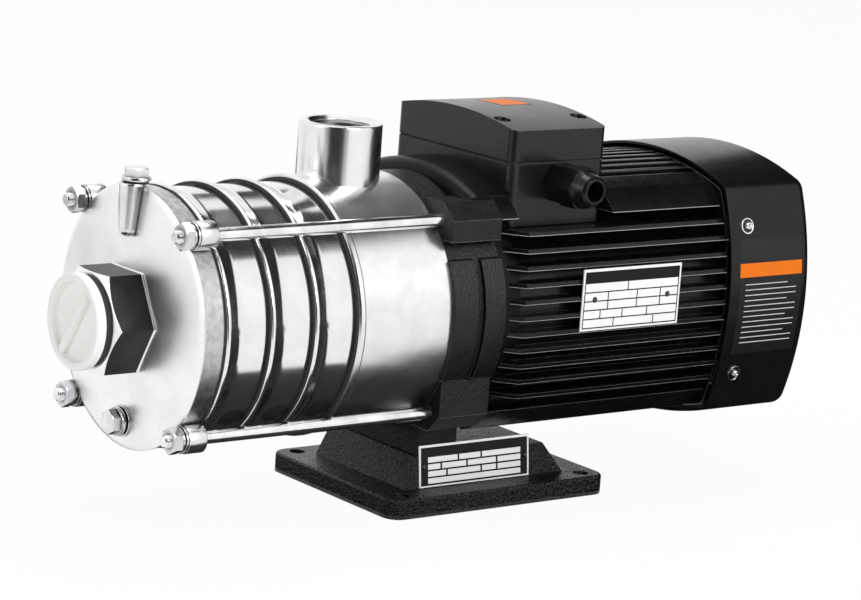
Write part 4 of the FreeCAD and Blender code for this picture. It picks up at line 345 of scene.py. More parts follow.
class Finishes(Enum):
    """Every finish of the pump."""

    COVER = Finish("satin_cast_stainless", "cast_stainless", (0.92, 0.92, 0.93), gloss=(0.29, 0.40), metallic=1.0,
                   fade=0.05, patch=26.0, size=0.35)
    # Painted shade: the hexagon's steel flats are coloured near black, standing in for the dark they reflect.
    HEXAGON = Finish("hexagon_painted_shade", "cast_stainless", (0.045, 0.045, 0.047), gloss=(0.34, 0.46), metallic=1.0,
                     fade=0.2, depth=0.004)
    RIM = Finish("dull_cast_rim", "cast_stainless", (0.60, 0.60, 0.60), gloss=(0.30, 0.44), metallic=1.0, fade=0.15,
                 patch=4.0, size=0.8, depth=0.06)
    # Painted shade: this finish darkens its colour in corners by ambient occlusion.
    LUG = Finish("rough_cast_lug", "cast_stainless", (0.78, 0.78, 0.77), gloss=(0.18, 0.27), metallic=1.0, fade=0.06,
                 patch=9.0, size=0.7, depth=0.02, corner_shade=1.6)
    # Painted shade: the dimple is coloured far darker than the polished steel it is pressed from.
    DIMPLE = Finish("pressed_dimple", "polished_casing", (0.30, 0.30, 0.30), gloss=(0.26, 0.36), metallic=1.0,
                    depth=0.002)
    POLISHED = Finish("polished_stainless", "polished_casing", (0.86, 0.86, 0.86), gloss=(0.11, 0.18), metallic=1.0,
                      fade=0.04, grain=Grain.TURNED, size=0.3, depth=0.0006, waves=0.02)
    BARREL = Finish("blasted_stainless", "blasted_casing", (0.86, 0.86, 0.86), gloss=(0.22, 0.27), metallic=1.0,
                    fade=0.05, patch=12.0, size=0.7, depth=0.003)
    NECK = Finish("bright_stainless", "blasted_casing", (0.86, 0.86, 0.86), gloss=(0.16, 0.22), metallic=1.0,
                  fade=0.04, grain=Grain.UPRIGHT, size=0.4, depth=0.0006)
    # Painted shade: the thread inside the port is coloured darker than the barrel, for the shade in the bore.
    THREAD = Finish("cut_thread", "blasted_casing", (0.30, 0.30, 0.30), gloss=(0.25, 0.35), metallic=1.0, size=0.4,
                    depth=0.003)
    PRESSED = Finish("pressed_stainless", "pressed_steel", (0.72, 0.72, 0.71), gloss=(0.25, 0.35), metallic=1.0,
                     depth=0.003)
    ROD = Finish("bright_rod", "bright_zinc", (0.86, 0.86, 0.87), gloss=(0.12, 0.20), metallic=1.0, size=0.3,
                 depth=0.002)
    # Painted shade: this finish darkens its colour in corners and between parts by ambient occlusion.
    ZINC = Finish("bright_zinc_plate", "bright_zinc", (0.70, 0.70, 0.72), gloss=(0.14, 0.24), metallic=1.0, size=0.3,
                  depth=0.003, corner_shade=3.4)
    # Painted shade: a near-black ring set in the recess between screw head and flange.
    SOCKET = Finish("socket_painted_shade", "bright_zinc", (0.05, 0.05, 0.05), gloss=(0.3, 0.4), metallic=1.0, size=0.3,
                    depth=0.002)
    # Painted shade: this finish darkens its colour in corners by ambient occlusion.
    PLUG = Finish("turned_stainless", "plug_steel", (0.80, 0.80, 0.79), gloss=(0.14, 0.24), metallic=1.0, size=0.3,
                  depth=0.003, corner_shade=3.4)
    GROUND = Finish("ground_steel", "shaft_steel", (0.62, 0.62, 0.62), gloss=(0.18, 0.28), metallic=1.0,
                    grain=Grain.TURNED, size=0.25, depth=0.001)
    BEARING = Finish("bearing_steel", "bearing_steel", (0.74, 0.74, 0.76), gloss=(0.08, 0.16), metallic=1.0, size=0.3,
                     depth=0.001)
    SHEET = Finish("stacked_sheet", "lamination", (0.40, 0.40, 0.41), gloss=(0.34, 0.46), metallic=1.0,
                   grain=Grain.TURNED, depth=0.02)
    COPPER = Finish("varnished_copper", "copper_winding", (0.60, 0.27, 0.12), gloss=(0.26, 0.40), metallic=0.6,
                    grain=Grain.CAST, size=1.1, depth=0.3)
    BRASS = Finish("bright_brass", "contact_brass", (0.76, 0.57, 0.26), gloss=(0.18, 0.3), metallic=1.0, size=0.3,
                   depth=0.002)
    CASTING = Finish("black_rough_casting", "black_casting", (0.003, 0.003, 0.004), gloss=(0.20, 0.32), specular=0.46,
                     fade=0.3, grain=Grain.CAST, size=0.9, depth=0.55, edge=1.0)
    # Painted highlight: this finish lightens the colour of its lower edges.
    BRACKET = Finish("black_fine_casting", "black_casting", (0.006, 0.006, 0.007), gloss=(0.26, 0.38), specular=0.36,
                     fade=0.3, grain=Grain.CAST, size=0.8, depth=0.16, edge=1.0, lower_edge_highlight=0.30)
    COLLAR = Finish("black_smooth_casting", "black_casting", (0.003, 0.003, 0.004), gloss=(0.28, 0.38), specular=0.12,
                    fade=0.2, grain=Grain.CAST, size=0.8, depth=0.06)
    # Painted highlight: this finish lightens the colour of its fins' lower edges.
    HOUSING = Finish("black_satin_paint", "black_aluminium", (0.004, 0.004, 0.005), gloss=(0.20, 0.30), specular=0.3,
                     fade=0.2, depth=0.008, edge=0.8, lower_edge_highlight=0.75)
    COWL = Finish("black_smooth_paint", "black_cover", (0.005, 0.005, 0.006), gloss=(0.20, 0.28), specular=0.28,
                  fade=0.15, size=0.4, depth=0.004, edge=0.5)
    BOX = Finish("dark_box_paint", "grey_box", (0.006, 0.006, 0.007), gloss=(0.22, 0.30), specular=0.40, fade=0.15,
                 size=0.4, edge=0.9)
    GLAND = Finish("black_moulded_plastic", "gland_plastic", (0.004, 0.004, 0.005), gloss=(0.22, 0.32), specular=0.28,
                   size=0.4, depth=0.004, edge=0.4)
    BLOCK = Finish("dark_moulded_block", "block_plastic", (0.05, 0.05, 0.05), gloss=(0.4, 0.5), size=0.4)
    FAN = Finish("dark_fan_plastic", "fan_plastic", (0.045, 0.045, 0.047), gloss=(0.38, 0.5))
    RUBBER = Finish("black_rubber", "black_rubber", (0.016, 0.016, 0.016), gloss=(0.55, 0.7), specular=0.3, size=0.4,
                    depth=0.01)
    RING = Finish("pale_ring_plastic", "ring_plastic", (0.80, 0.78, 0.72), gloss=(0.35, 0.5), size=0.4)
    CERAMIC = Finish("pale_ceramic", "seal_ceramic", (0.85, 0.83, 0.77), gloss=(0.15, 0.25), size=0.4, depth=0.001)
    SEAL_SHELL = Finish("seal_shell_steel", "seal_shell", (0.55, 0.55, 0.55), gloss=(0.25, 0.35), metallic=1.0,
                        size=0.3, depth=0.003)
    MILKY = Finish("milky_plastic", "white_plastic", (0.95, 0.95, 0.93), gloss=(0.30, 0.40), specular=0.45, fade=0.02,
                   edge=0.5, milky=0.12)
    PLATE = Finish("plate_enamel", "plate_metal", (0.88, 0.88, 0.88), gloss=(0.3, 0.4), fade=0.03, grain=Grain.DRAWN,
                   size=0.25, depth=0.001)
    RIVET = Finish("dark_rivets", "bright_zinc", (0.10, 0.10, 0.10), gloss=(0.24, 0.34), metallic=1.0, size=0.3,
                   depth=0.002)
    PRINT = Finish("dark_print", "plate_metal", (0.008, 0.008, 0.009), gloss=(0.35, 0.45), specular=0.2, size=0.4,
                   depth=0.002)
    FILM = Finish("dark_label_film", "black_cover", (0.010, 0.010, 0.011), gloss=(0.30, 0.38), specular=0.3, size=0.4,
                  depth=0.002)
    ORANGE = Finish("orange_film", "black_cover", (0.80, 0.17, 0.004), gloss=(0.40, 0.50), specular=0.2, fade=0.04,
                    size=0.4, depth=0.002)
    PALE = Finish("pale_print", "black_cover", (0.62, 0.62, 0.62), gloss=(0.4, 0.5), fade=0.04, size=0.4, depth=0.002)


class Shape:
    """A mesh under construction, in millimetres: station along the shaft, across and up from its axis."""

    def __init__(self) -> None:
        """Starts with nothing."""
        self.mesh = bmesh.new()

    def lathe(self, profile: Profile, spot: Point = ORIGIN, axis: Axis = Axis.SHAFT, steps: int = CAP_STEPS,
              bevel: float = 0.0) -> "Shape":
        """Turns a closed profile round an axis.

        Args:
            profile: Distance along the axis and radius of each corner, in order.
            spot: Where the axis starts.
            axis: Which way it points.
            steps: Number of facets of a full turn.
            bevel: Size of the round on its sharp rims.

        Returns:
            This shape.
        """
        part = bmesh.new()
        corners = [part.verts.new((along, 0.0, radius)) for along, radius in profile]
        edges = [part.edges.new((corners[k - 1], corners[k])) for k in range(len(corners))]
        bmesh.ops.spin(part, geom=corners + edges, cent=(0, 0, 0), axis=(1, 0, 0), dvec=(0, 0, 0),
                       angle=FULL_TURN, steps=steps, use_merge=True, use_duplicate=False)
        bmesh.ops.remove_doubles(part, verts=part.verts, dist=WELD)
        self.soften(part, bevel)
        return self.join(part, spot, axis)

    def skin(self, rows: Sequence[Callable[[float], tuple[float, float]]], spot: Point = ORIGIN,
             axis: Axis = Axis.SHAFT, steps: int = 96, closed: bool = False) -> "Shape":
        """Skins rings whose radius may change round the axis.

        Args:
            rows: For each ring, the distance along the axis and the radius at an angle.
            spot: Where the axis starts.
            axis: Which way it points.
            steps: Number of facets of a full turn.
            closed: Whether the last ring joins the first.

        Returns:
            This shape.
        """
        part = bmesh.new()
        bmesh.ops.create_circle(part, cap_ends=False, radius=1.0, segments=steps)
        bmesh.ops.rotate(part, verts=part.verts, cent=(0, 0, 0), matrix=Matrix.Rotation(math.pi / 2, 3, "Y"))
        rings = [list(part.verts)]
        edges = list(part.edges)
        first = edges
        for _ in rows[1:]:
            made = bmesh.ops.extrude_edge_only(part, edges=edges)["geom"]
            verts = {item for item in made if isinstance(item, bmesh.types.BMVert)}
            edges = [item for item in made if isinstance(item, bmesh.types.BMEdge) and set(item.verts) <= verts]
            rings.append(list(verts))
        for row, ring in zip(rows, rings):
            for vert in ring:
                angle = math.atan2(vert.co.z, vert.co.y)
                along, radius = row(angle)
                vert.co = (along, radius * math.cos(angle), radius * math.sin(angle))
        if closed:
            bmesh.ops.bridge_loops(part, edges=first + edges)
        bmesh.ops.remove_doubles(part, verts=part.verts, dist=WELD)
        return self.join(part, spot, axis)

    def hexagon(self, flats: float, length: float, spot: Point, axis: Axis = Axis.SHAFT, bore: float = 0.0,
                chamfers: tuple[float, float] = (0.55, 0.0)) -> "Shape":
        """Adds a hexagon bar with turned chamfers.

        Args:
            flats: Its size across flats.
            length: Its length from the spot along the axis.
            spot: Where it starts.
            axis: Which way it points.
            bore: Radius of the hole through it, or nothing.
            chamfers: Slope of the turned chamfer at its start and at its end.

        Returns:
            This shape.
        """
        flat = flats / 2
        edge = flat * 0.985

        def outline(angle: float) -> float:
            """Radius of the hexagon at an angle."""
            sector = (angle + math.radians(30.0)) % (math.pi / 3) - math.pi / 6
            return flat / math.cos(sector)

        def wall(end: int) -> Callable[[float], tuple[float, float]]:
            """The ring where the flats meet the chamfer of one end.

            Args:
                end: 0 for the start of the bar and 1 for its end.

            Returns:
                The ring's distance along and radius at an angle.
            """
            slope = chamfers[end]

            def place(angle: float) -> tuple[float, float]:
                """Distance along and radius at an angle.

                Args:
                    angle: The angle round the axis.

                Returns:
                    The distance and the radius.
                """
                radius = outline(angle)
                depth = slope * (radius - edge)
                return (length - depth if end else depth), radius

            return place

        rows = [lambda angle: (0.0, bore), lambda angle: (0.0, edge), wall(0), wall(1),
                lambda angle: (length, edge), lambda angle: (length, bore)]
        return self.skin(rows, spot, axis, closed=bore > 0)

    def block(self, low: Point, high: Point, bevel: float = 0.0) -> "Shape":
        """Adds a box between two corners.

        Args:
            low: Its lowest corner.
            high: Its highest corner.
            bevel: Size of the round on its edges.

        Returns:
            This shape.
        """
        part = bmesh.new()
        bmesh.ops.create_cube(part, size=1.0)
        size = [high[k] - low[k] for k in range(3)]
        bmesh.ops.scale(part, verts=part.verts, vec=size)
        bmesh.ops.translate(part, verts=part.verts, vec=[(high[k] + low[k]) / 2 for k in range(3)])
        self.soften(part, bevel)
        return self.join(part)

    def swell(self, drum: float, reach: float, rise: float) -> "Shape":
        """Adds a pressed bump on the near side of a drum round the shaft.

        Args:
            drum: Radius of the drum.
            reach: Radius of the bump where it leaves the drum.
            rise: Its height.

        Returns:
            This shape.
        """
        rim_cells, spoke_cuts = 56, 14
        sunk, rooted = 0.02, 0.4
        part = bmesh.new()
        bmesh.ops.create_circle(part, cap_ends=True, cap_tris=True, radius=1.0, segments=rim_cells)
        spokes = [edge for edge in part.edges if not edge.is_boundary]
        bmesh.ops.subdivide_edges(part, edges=spokes, cuts=spoke_cuts)
        bmesh.ops.extrude_face_region(part, geom=list(part.faces))
        top = {vert for face in part.faces for vert in face.verts if face.normal.z > 0}
        for vert in part.verts:
            share = min(1.0, vert.co.xy.length)
            height = rise * (0.5 + 0.5 * math.cos(math.pi * share ** 1.3)) - sunk
            radius = drum + (height if vert in top else -rooted)
            turn = reach * vert.co.y / drum
            vert.co = (reach * vert.co.x, -radius * math.cos(turn), radius * math.sin(turn))
        return self.join(part)

    def film(self, station: tuple[float, float], across: tuple[float, float],
             surface: Callable[[float], Vector], lift: float) -> "Shape":
        """Adds a thin film that follows a surface drawn out along the shaft.

        Args:
            station: Where it starts and ends along the shaft.
            across: Where it starts and ends across the surface.
            surface: Place on the surface at a distance across it, with the station left out.
            lift: How far its face stands out.

        Returns:
            This shape.
        """
        thick, probe = 0.05, 0.1
        part = bmesh.new()
        bmesh.ops.create_grid(part, x_segments=1, y_segments=20, size=1.0)
        for vert in part.verts:
            along = station[0] + (station[1] - station[0]) * (vert.co.x + 1) / 2
            over = across[0] + (across[1] - across[0]) * (vert.co.y + 1) / 2
            out = Vector((1, 0, 0)).cross(surface(over + probe) - surface(over - probe)).normalized()
            vert.co = surface(over) + out * lift + Vector((along, 0, 0))
        bmesh.ops.recalc_face_normals(part, faces=part.faces)
        bmesh.ops.solidify(part, geom=list(part.faces), thickness=thick)
        return self.join(part)

    def move(self, spot: Point, lean: float = 0.0) -> "Shape":
        """Turns the shape about the shaft's direction and moves it.

        Args:
            spot: Where its own origin goes.
            lean: Turn in degrees; its top leans away from the near side when this is positive.

        Returns:
            This shape.
        """
        turn = Matrix.Rotation(-math.radians(lean), 4, "X")
        bmesh.ops.transform(self.mesh, matrix=Matrix.Translation(spot) @ turn, verts=self.mesh.verts)
        return self

    @staticmethod
    def soften(part: bmesh.types.BMesh, bevel: float) -> None:
        """Rounds the sharp edges of a part.

        Args:
            part: The mesh to change.
            bevel: Size of the round in millimetres.
        """
        if bevel:
            sharp = [edge for edge in part.edges
                     if len(edge.link_faces) == 2 and edge.calc_face_angle(0.0) > math.radians(CORNER)]
            bmesh.ops.bevel(part, geom=sharp, offset=bevel, offset_type="OFFSET", segments=2, profile=0.5,
                            affect="EDGES", clamp_overlap=True, material=-1)

    def join(self, part: bmesh.types.BMesh, spot: Point = ORIGIN, axis: Axis = Axis.SHAFT) -> "Shape":
        """Moves a part into place and adds it.

        Args:
            part: The mesh to add, pointing along the shaft from its start.
            spot: Where it starts.
            axis: Which way it points.

        Returns:
            This shape.
        """
        bmesh.ops.transform(part, matrix=Matrix.Translation(spot) @ axis.value.to_4x4(), verts=part.verts)
        bmesh.ops.recalc_face_normals(part, faces=part.faces)
        kept = bpy.data.meshes.new("part")
        part.to_mesh(kept)
        part.free()
        self.mesh.from_mesh(kept)
        bpy.data.meshes.remove(kept)
        return self

    def publish(self, name: str, finish: Finishes, body: str = "pump", replaces: Iterable[str] = (),
                crease: float = 32.0) -> bpy.types.Object:
        """Makes the shape an object in its place in the frame.

        Args:
            name: The object's name.
            finish: Its surface finish.
            body: The moving body that it rides on.
            replaces: The nodes that it stands for.
            crease: Angle in degrees past which an edge is drawn sharp.

        Returns:
            The finished object.
        """
        bmesh.ops.translate(self.mesh, verts=self.mesh.verts, vec=(-FOOT_STATION, 0, SHAFT_HEIGHT))
        bmesh.ops.scale(self.mesh, verts=self.mesh.verts, vec=(MM, MM, MM))
        data = bpy.data.meshes.new(name)
        self.mesh.to_mesh(data)
        self.mesh.free()
        data.shade_smooth()
        data.set_sharp_from_angle(angle=math.radians(crease))
        thing = bpy.data.objects.new(name, data)
        bpy.context.scene.collection.objects.link(thing)
        data.materials.append(finish.value.material())
        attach(thing, body)
        if replaces:
            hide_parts(*replaces)
        LOG.info("%s: %d faces", name, len(data.polygons))
        return thing


def dress(finish: Finishes, *nodes: str) -> None:
    """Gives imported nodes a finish.

    Args:
        finish: The finish to give.
        *nodes: Names of the nodes.
    """
    for name in nodes:
        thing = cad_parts[name]
        thing.data.materials.clear()
        thing.data.materials.append(finish.value.material())
        LOG.info("%s: %s", name, finish.value.name)


@dataclass(frozen=True)
class Card:
    """A dark card beside the set: its size and place in metres, its tone, and its turn in degrees."""

    name: str
    size: tuple[float, float]
    place: Point
    aim: Point
    tone: float
    turn: float = 0.0


@dataclass
class Studio:
    """Camera, floor, lamps and flags of the picture. Places are in metres, the camera's turn in degrees."""

    camera_place: Point = (-1.10301754, -1.3905781, 0.46817888)
    camera_turn: Point = (78.37607388, -4.15182794, -37.20003788)
    lens: float = 135.108
    white: float = 1.0
    ambient: float = 0.42
    glow: float = 0.95

    def build(self) -> None:
        """Sets up the whole studio."""
        bpy.context.scene.view_settings.view_transform = "Standard"
        self.place_camera()
        self.light_world()
        self.lay_floor()
        self.hang_lamps()
        self.hang_flags()

    def place_camera(self) -> None:
        """Puts the camera at the picture's viewing angle."""
        data = bpy.data.cameras.new("camera")
        data.lens = self.lens
        data.sensor_width = 36.0
        data.clip_end = 50.0
        camera = bpy.data.objects.new("camera", data)
        camera.location = self.camera_place
        camera.rotation_euler = Euler([math.radians(angle) for angle in self.camera_turn], "XYZ")
        bpy.context.scene.collection.objects.link(camera)
        bpy.context.scene.camera = camera

    def light_world(self) -> None:
        """A white surround for the camera and for reflections, and a softer light on matt surfaces."""
        world = bpy.data.worlds.new("studio")
        bpy.context.scene.world = world
        world.use_nodes = True
        tree = world.node_tree
        background = tree.nodes["Background"]
        background.inputs["Color"].default_value = (1.0, 1.0, 1.0, 1.0)
        paths = tree.nodes.new("ShaderNodeLightPath")
        seen = paths.outputs["Is Camera Ray"]
        for ray in ("Is Glossy Ray", "Is Transmission Ray"):
            either = tree.nodes.new("ShaderNodeMath")
            either.operation = "MAXIMUM"
            tree.links.new(seen, either.inputs[0])
            tree.links.new(paths.outputs[ray], either.inputs[1])
            seen = either.outputs[0]
        level = tree.nodes.new("ShaderNodeMapRange")
        tree.links.new(seen, level.inputs["Value"])
        level.inputs["To Min"].default_value = self.ambient
        level.inputs["To Max"].default_value = self.white
        tree.links.new(level.outputs["Result"], background.inputs["Strength"])

    def sheet(self, name: str, size: tuple[float, float], place: Point, aim: Point,
              material: bpy.types.Material, roll: float = 0.0) -> bpy.types.Object:
        """A flat card that faces a point.

        Args:
            name: Its name.
            size: Its width and height in metres.
            place: Its centre.
            aim: The point that it faces.
            material: Its material.
            roll: Turn about its own middle in degrees.

        Returns:
            The card.
        """
        card = bmesh.new()
        bmesh.ops.create_grid(card, x_segments=1, y_segments=1, size=0.5)
        bmesh.ops.scale(card, verts=card.verts, vec=(*size, 1.0))
        turn = (Vector(aim) - Vector(place)).to_track_quat("Z", "Y").to_matrix().to_4x4()
        own = Matrix.Rotation(math.radians(roll), 4, "Z")
        bmesh.ops.transform(card, matrix=Matrix.Translation(place) @ turn @ own, verts=card.verts)
        data = bpy.data.meshes.new(name)
        card.to_mesh(data)
        card.free()
        data.materials.append(material)
        thing = bpy.data.objects.new(name, data)
        bpy.context.scene.collection.objects.link(thing)
        return thing

    @staticmethod
    def matt(name: str, tone: float, roughness: float) -> Graph:
        """Starts a matt grey material.

        Args:
            name: Its name.
            tone: Its grey.
            roughness: Its roughness.

        Returns:
            Its nodes.
        """
        graph = Graph(name)
        graph.shader.inputs["Base Color"].default_value = (tone, tone, tone, 1.0)
        graph.shader.inputs["Roughness"].default_value = roughness
        graph.shader.inputs["Specular IOR Level"].default_value = 0.0
        return graph

    def lay_floor(self) -> None:
        """A plain pale floor that keeps a soft shadow."""
        graph = self.matt("pale_floor", 0.92, 0.9)
        glow = graph.add("ShaderNodeEmission", Color=(1.0, 1.0, 1.0, 1.0), Strength=1.0)
        paths = graph.add("ShaderNodeLightPath").outputs
        seen = paths["Is Camera Ray"]
        for ray in ("Is Glossy Ray", "Is Transmission Ray"):
            seen = graph.total(seen, paths[ray], "MAXIMUM")
        share = graph.total(seen, self.glow, "MULTIPLY")
        mixed = graph.add("ShaderNodeMixShader", Fac=share)
        graph.feed(mixed.inputs[1], graph.shader.outputs["BSDF"])
        graph.feed(mixed.inputs[2], glow.outputs["Emission"])
        graph.feed(graph.tree.nodes["Material Output"].inputs["Surface"], mixed.outputs["Shader"])
        self.sheet("floor", (12.0, 12.0), (0.0, 0.0, 0.0), (0.0, 0.0, 1.0), graph.material)

    def hang_lamps(self) -> None:
        """Large soft lamps: key, fill and overhead."""
        for name, place, aim, size, power in (
            ("key", (0.1, -2.2, 1.3), (0.0, 0.0, 0.1), (1.6, 1.2), 34.0),
            ("fill", (-2.2, 0.3, 0.9), (-0.2, 0.0, 0.1), (0.8, 0.8), 7.0),
            ("overhead", (0.3, 0.6, 2.2), (0.0, 0.0, 0.1), (1.6, 0.8), 20.0),
        ):
            data = bpy.data.lights.new(name, "AREA")
            data.shape = "RECTANGLE"
            data.size, data.size_y = size
            data.energy = power
            lamp = bpy.data.objects.new(name, data)
            lamp.location = place
            lamp.rotation_euler = (Vector(aim) - Vector(place)).to_track_quat("-Z", "Y").to_euler()
            bpy.context.scene.collection.objects.link(lamp)

    def hang_flags(self) -> None:
        """Dark cards round the set, which only reflections see."""
        for card in (
            Card("flag_fringe", (1.35, 2.0), (-0.83, -0.75, 1.0), (-0.085, 0.0, 1.0), 0.15),
            Card("flag_core", (0.74, 2.0), (-0.775, -0.70, 1.0), (-0.085, 0.0, 1.0), 0.005),
            Card("flag_right", (1.2, 1.5), (0.98, 0.12, 0.75), (0.0, 0.12, 0.75), 0.015),
            Card("flag_ground", (0.72, 0.95), (0.66, 0.13, 0.002), (0.66, 0.13, 1.0), 0.03),
            Card("flag_under", (0.54, 0.652), (0.05, 0.174, 0.002), (0.05, 0.174, 1.0), 0.05),
            Card("flag_slant", (0.385, 0.30), (0.242, -0.1355, 0.003), (0.242, -0.1355, 1.0), 0.03, -31.0),
            Card("flag_over", (0.36, 0.43), (0.28, 0.005, 0.63), (0.28, 0.005, 0.0), 0.02),
            Card("flag_rod", (0.26, 0.13), (0.15, -0.275, 0.63), (0.15, -0.275, 0.0), 0.02),
            Card("flag_back", (0.20, 0.52), (0.37, 0.48, 0.63), (0.37, 0.48, 0.0), 0.03),
            Card("flag_corner", (0.55, 0.3), (0.745, -0.48, 0.002), (0.745, -0.48, 1.0), 0.03),
            Card("flag_neck", (0.46, 0.66), (-0.69, -0.61, 0.002), (-0.69, -0.61, 1.0), 0.02, 45.0),
            Card("flag_face", (0.30, 0.34), (-0.54, 0.76, 0.002), (-0.54, 0.76, 1.0), 0.30),
            Card("flag_behind", (0.51, 0.68), (0.305, 0.84, 0.002), (0.305, 0.84, 1.0), 0.10),
        ):
            cloth = self.matt(f"{card.name}_cloth", card.tone, 1.0).material
            flag = self.sheet(card.name, card.size, card.place, card.aim, cloth, card.turn)
            flag.visible_camera = False
            flag.visible_diffuse = False
            flag.visible_shadow = False
            flag.visible_transmission = False


def rod_spots() -> list[tuple[float, float]]:
    """Offset and height of each tie rod."""
    return [(side * ROD_GAP / 2, rise * ROD_GAP / 2) for side, rise in QUARTERS]


@dataclass
class SuctionEnd:
    """Cover, transit cap and the two plugs."""

    dome: float = 3.0
    rim: float = 14.2
    radius: float = 70.0
    rear_radius: float = 68.4
    flat_radius: float = 26.0
    wall: float = 4.5
    spigot: float = 18.4
    spigot_radius: float = 67.0
    hex_flats: float = 52.0
    seat: float = -23.0
    nose_tall: float = 2.2
    nose_radius: float = 25.4
    nose_slope: float = 0.5
    nose_bore: float = 24.0
    nose_band: float = 0.28
    bore: float = 19.5
    cap_front: float = -34.6
    cap_rear: float = -29.0
    cap_radius: float = 25.4
    cap_rim: float = 4.0
    cap_floor: float = -30.8
    cap_round: float = 1.3
    sleeve_end: float = -9.0
    sleeve_radius: float = 18.6
    sleeve_bore: float = 16.0
    bar_wide: float = 4.2
    bar_turn: float = 33.0
    ring_radius: float = 23.9
    ring_bore: float = 18.7
    lug_radius: float = 7.6
    lug_front: float = 2.0
    lug_long: float = 11.0
    lug_bore: float = 3.9
    fill_top: float = 71.6
    fill_long: float = 28.5
    fill_lean: float = 0.055
    fill_nose: tuple[float, float] = (4.6, 5.1)
    drain_height: float = -55.5
    drain_radius: float = 8.6
    drain_half: float = 2.0
    plug_bore: float = 4.4
    plug_radius: float = 4.0
    plug_long: float = 9.0
    plug_flange: float = 7.7
    plug_flats: float = 12.0
    plug_head: float = 4.8

    def build(self) -> None:
        """Builds the suction end."""
        self.cover()
        self.hexagon_boss()
        self.bosses()
        self.plugs()
        self.cap()
        dress(Finishes.RUBBER, "fill_plug_seal", "drain_plug_seal")

    def cover(self) -> None:
        """The domed cover with its rim."""
        inner = self.spigot_radius - self.wall
        back = self.wall - self.dome
        shape = Shape().lathe((
            (-self.dome, self.bore), (-self.dome, self.flat_radius), (-0.25, 66.0), (0.0, 67.6), (0.35, 68.8),
            (1.0, self.radius), (self.rim, self.rear_radius), (self.rim, self.spigot_radius),
            (self.spigot, self.spigot_radius), (self.spigot, inner), (self.wall, inner), (back, self.flat_radius),
            (back, self.bore),
        ), steps=LARGE_STEPS)
        shape.publish("domed_cover", Finishes.COVER, replaces=("suction_cover",), crease=20.0)
        start, end = 1.6, self.rim - 0.5
        band = Shape().lathe((
            (start, self.radius - 1.0), (start, self.radius - 0.05), (end, self.rear_radius + 0.12),
            (end, self.rear_radius - 1.0),
        ), steps=LARGE_STEPS)
        band.publish("cover_rim_band", Finishes.RIM, crease=24.0)

    def hexagon_boss(self) -> None:
        """The hexagon round the suction port: flats with painted shade in their near-black colour, a bright turned
        face and a bright root.
        """
        flat = self.hex_flats / 2
        front = self.seat - self.nose_tall
        inside = flat - 3.0

        def outline(angle: float, more: float = 0.0) -> float:
            """Radius of the hexagon at an angle, with its corners across."""
            return more + flat / math.cos((angle + math.radians(60)) % (math.pi / 3) - math.pi / 6)

        def chamfer(angle: float, lift: float = 0.0) -> tuple[float, float]:
            """Where the turned chamfer meets the flats."""
            return front + lift + max(0.0, self.nose_slope * (outline(angle) - self.nose_radius)), outline(angle)

        band, rear = self.nose_band, -self.dome - 0.4
        flats = Shape().skin((
            lambda angle: (chamfer(angle, band)[0], inside), lambda angle: chamfer(angle, band),
            lambda angle: (rear, outline(angle)), lambda angle: (rear, inside),
        ), steps=BOSS_STEPS, closed=True)
        flats.publish("hexagon_flats", Finishes.HEXAGON, crease=24.0)
        face = Shape().skin((
            lambda angle: (0.0, self.bore), lambda angle: (self.seat, self.bore),
            lambda angle: (self.seat, self.nose_bore), lambda angle: (front, self.nose_bore),
            lambda angle: (front, self.nose_radius), chamfer, lambda angle: chamfer(angle, band),
            lambda angle: (chamfer(angle, band)[0], inside), lambda angle: (0.0, inside),
        ), steps=BOSS_STEPS, closed=True)
        face.publish("hexagon_face", Finishes.COVER, crease=20.0)
        root = Shape().skin((
            lambda angle: (-self.dome - 0.7, outline(angle, 0.02)),
            lambda angle: (-self.dome - 0.2, outline(angle, 0.25)),
            lambda angle: (-self.dome + 0.5, outline(angle, 1.1)),
            lambda angle: (-self.dome + 1.2, outline(angle)),
        ), steps=BOSS_STEPS, closed=True)
        root.publish("hexagon_root", Finishes.COVER, crease=60.0)

    def cap(self) -> None:
        """The screwed transit cap with its grip bar, and the ring behind it."""
        front, rear, radius, floor = self.cap_front, self.cap_rear, self.cap_radius, self.cap_floor
        sleeve, hollow = self.sleeve_radius, self.sleeve_bore
        edge = self.cap_round
        face = [(front + edge * (1 - math.sin(math.pi * k / 12)), radius - edge * (1 - math.cos(math.pi * k / 12)))
                for k in range(7)]
        inner = radius - self.cap_rim
        shape = Shape().lathe((
            (floor, 0.0), (floor, inner - 0.8), (floor - 0.8, inner), (front + 0.5, inner), (front, inner + 0.5),
            *reversed(face), (rear - 0.4, radius), (rear, radius - 0.4), (rear, sleeve), (self.sleeve_end, sleeve),
            (self.sleeve_end, hollow), (rear, hollow), (rear, 0.0),
        ), steps=CAP_STEPS)
        half, reach = self.bar_wide / 2, inner + 0.3
        bar = Shape().block((front + 0.5, -half, -reach), (floor + 0.4, half, reach), bevel=0.6)
        bar.move(ORIGIN, -self.bar_turn)
        shape.publish("cap_body", Finishes.MILKY, "cap", replaces=("transit_cap",), crease=30.0)
        bar.publish("cap_bar", Finishes.MILKY, "cap", crease=40.0)
        ring = Shape().lathe((
            (rear, self.ring_bore), (rear, self.ring_radius), (self.seat, self.ring_radius),
            (self.seat, self.ring_bore),
        ), steps=CAP_STEPS, bevel=0.4)
        ring.publish("cap_ring", Finishes.RUBBER, "cap_seal", replaces=("transit_cap_seal",), crease=30.0)

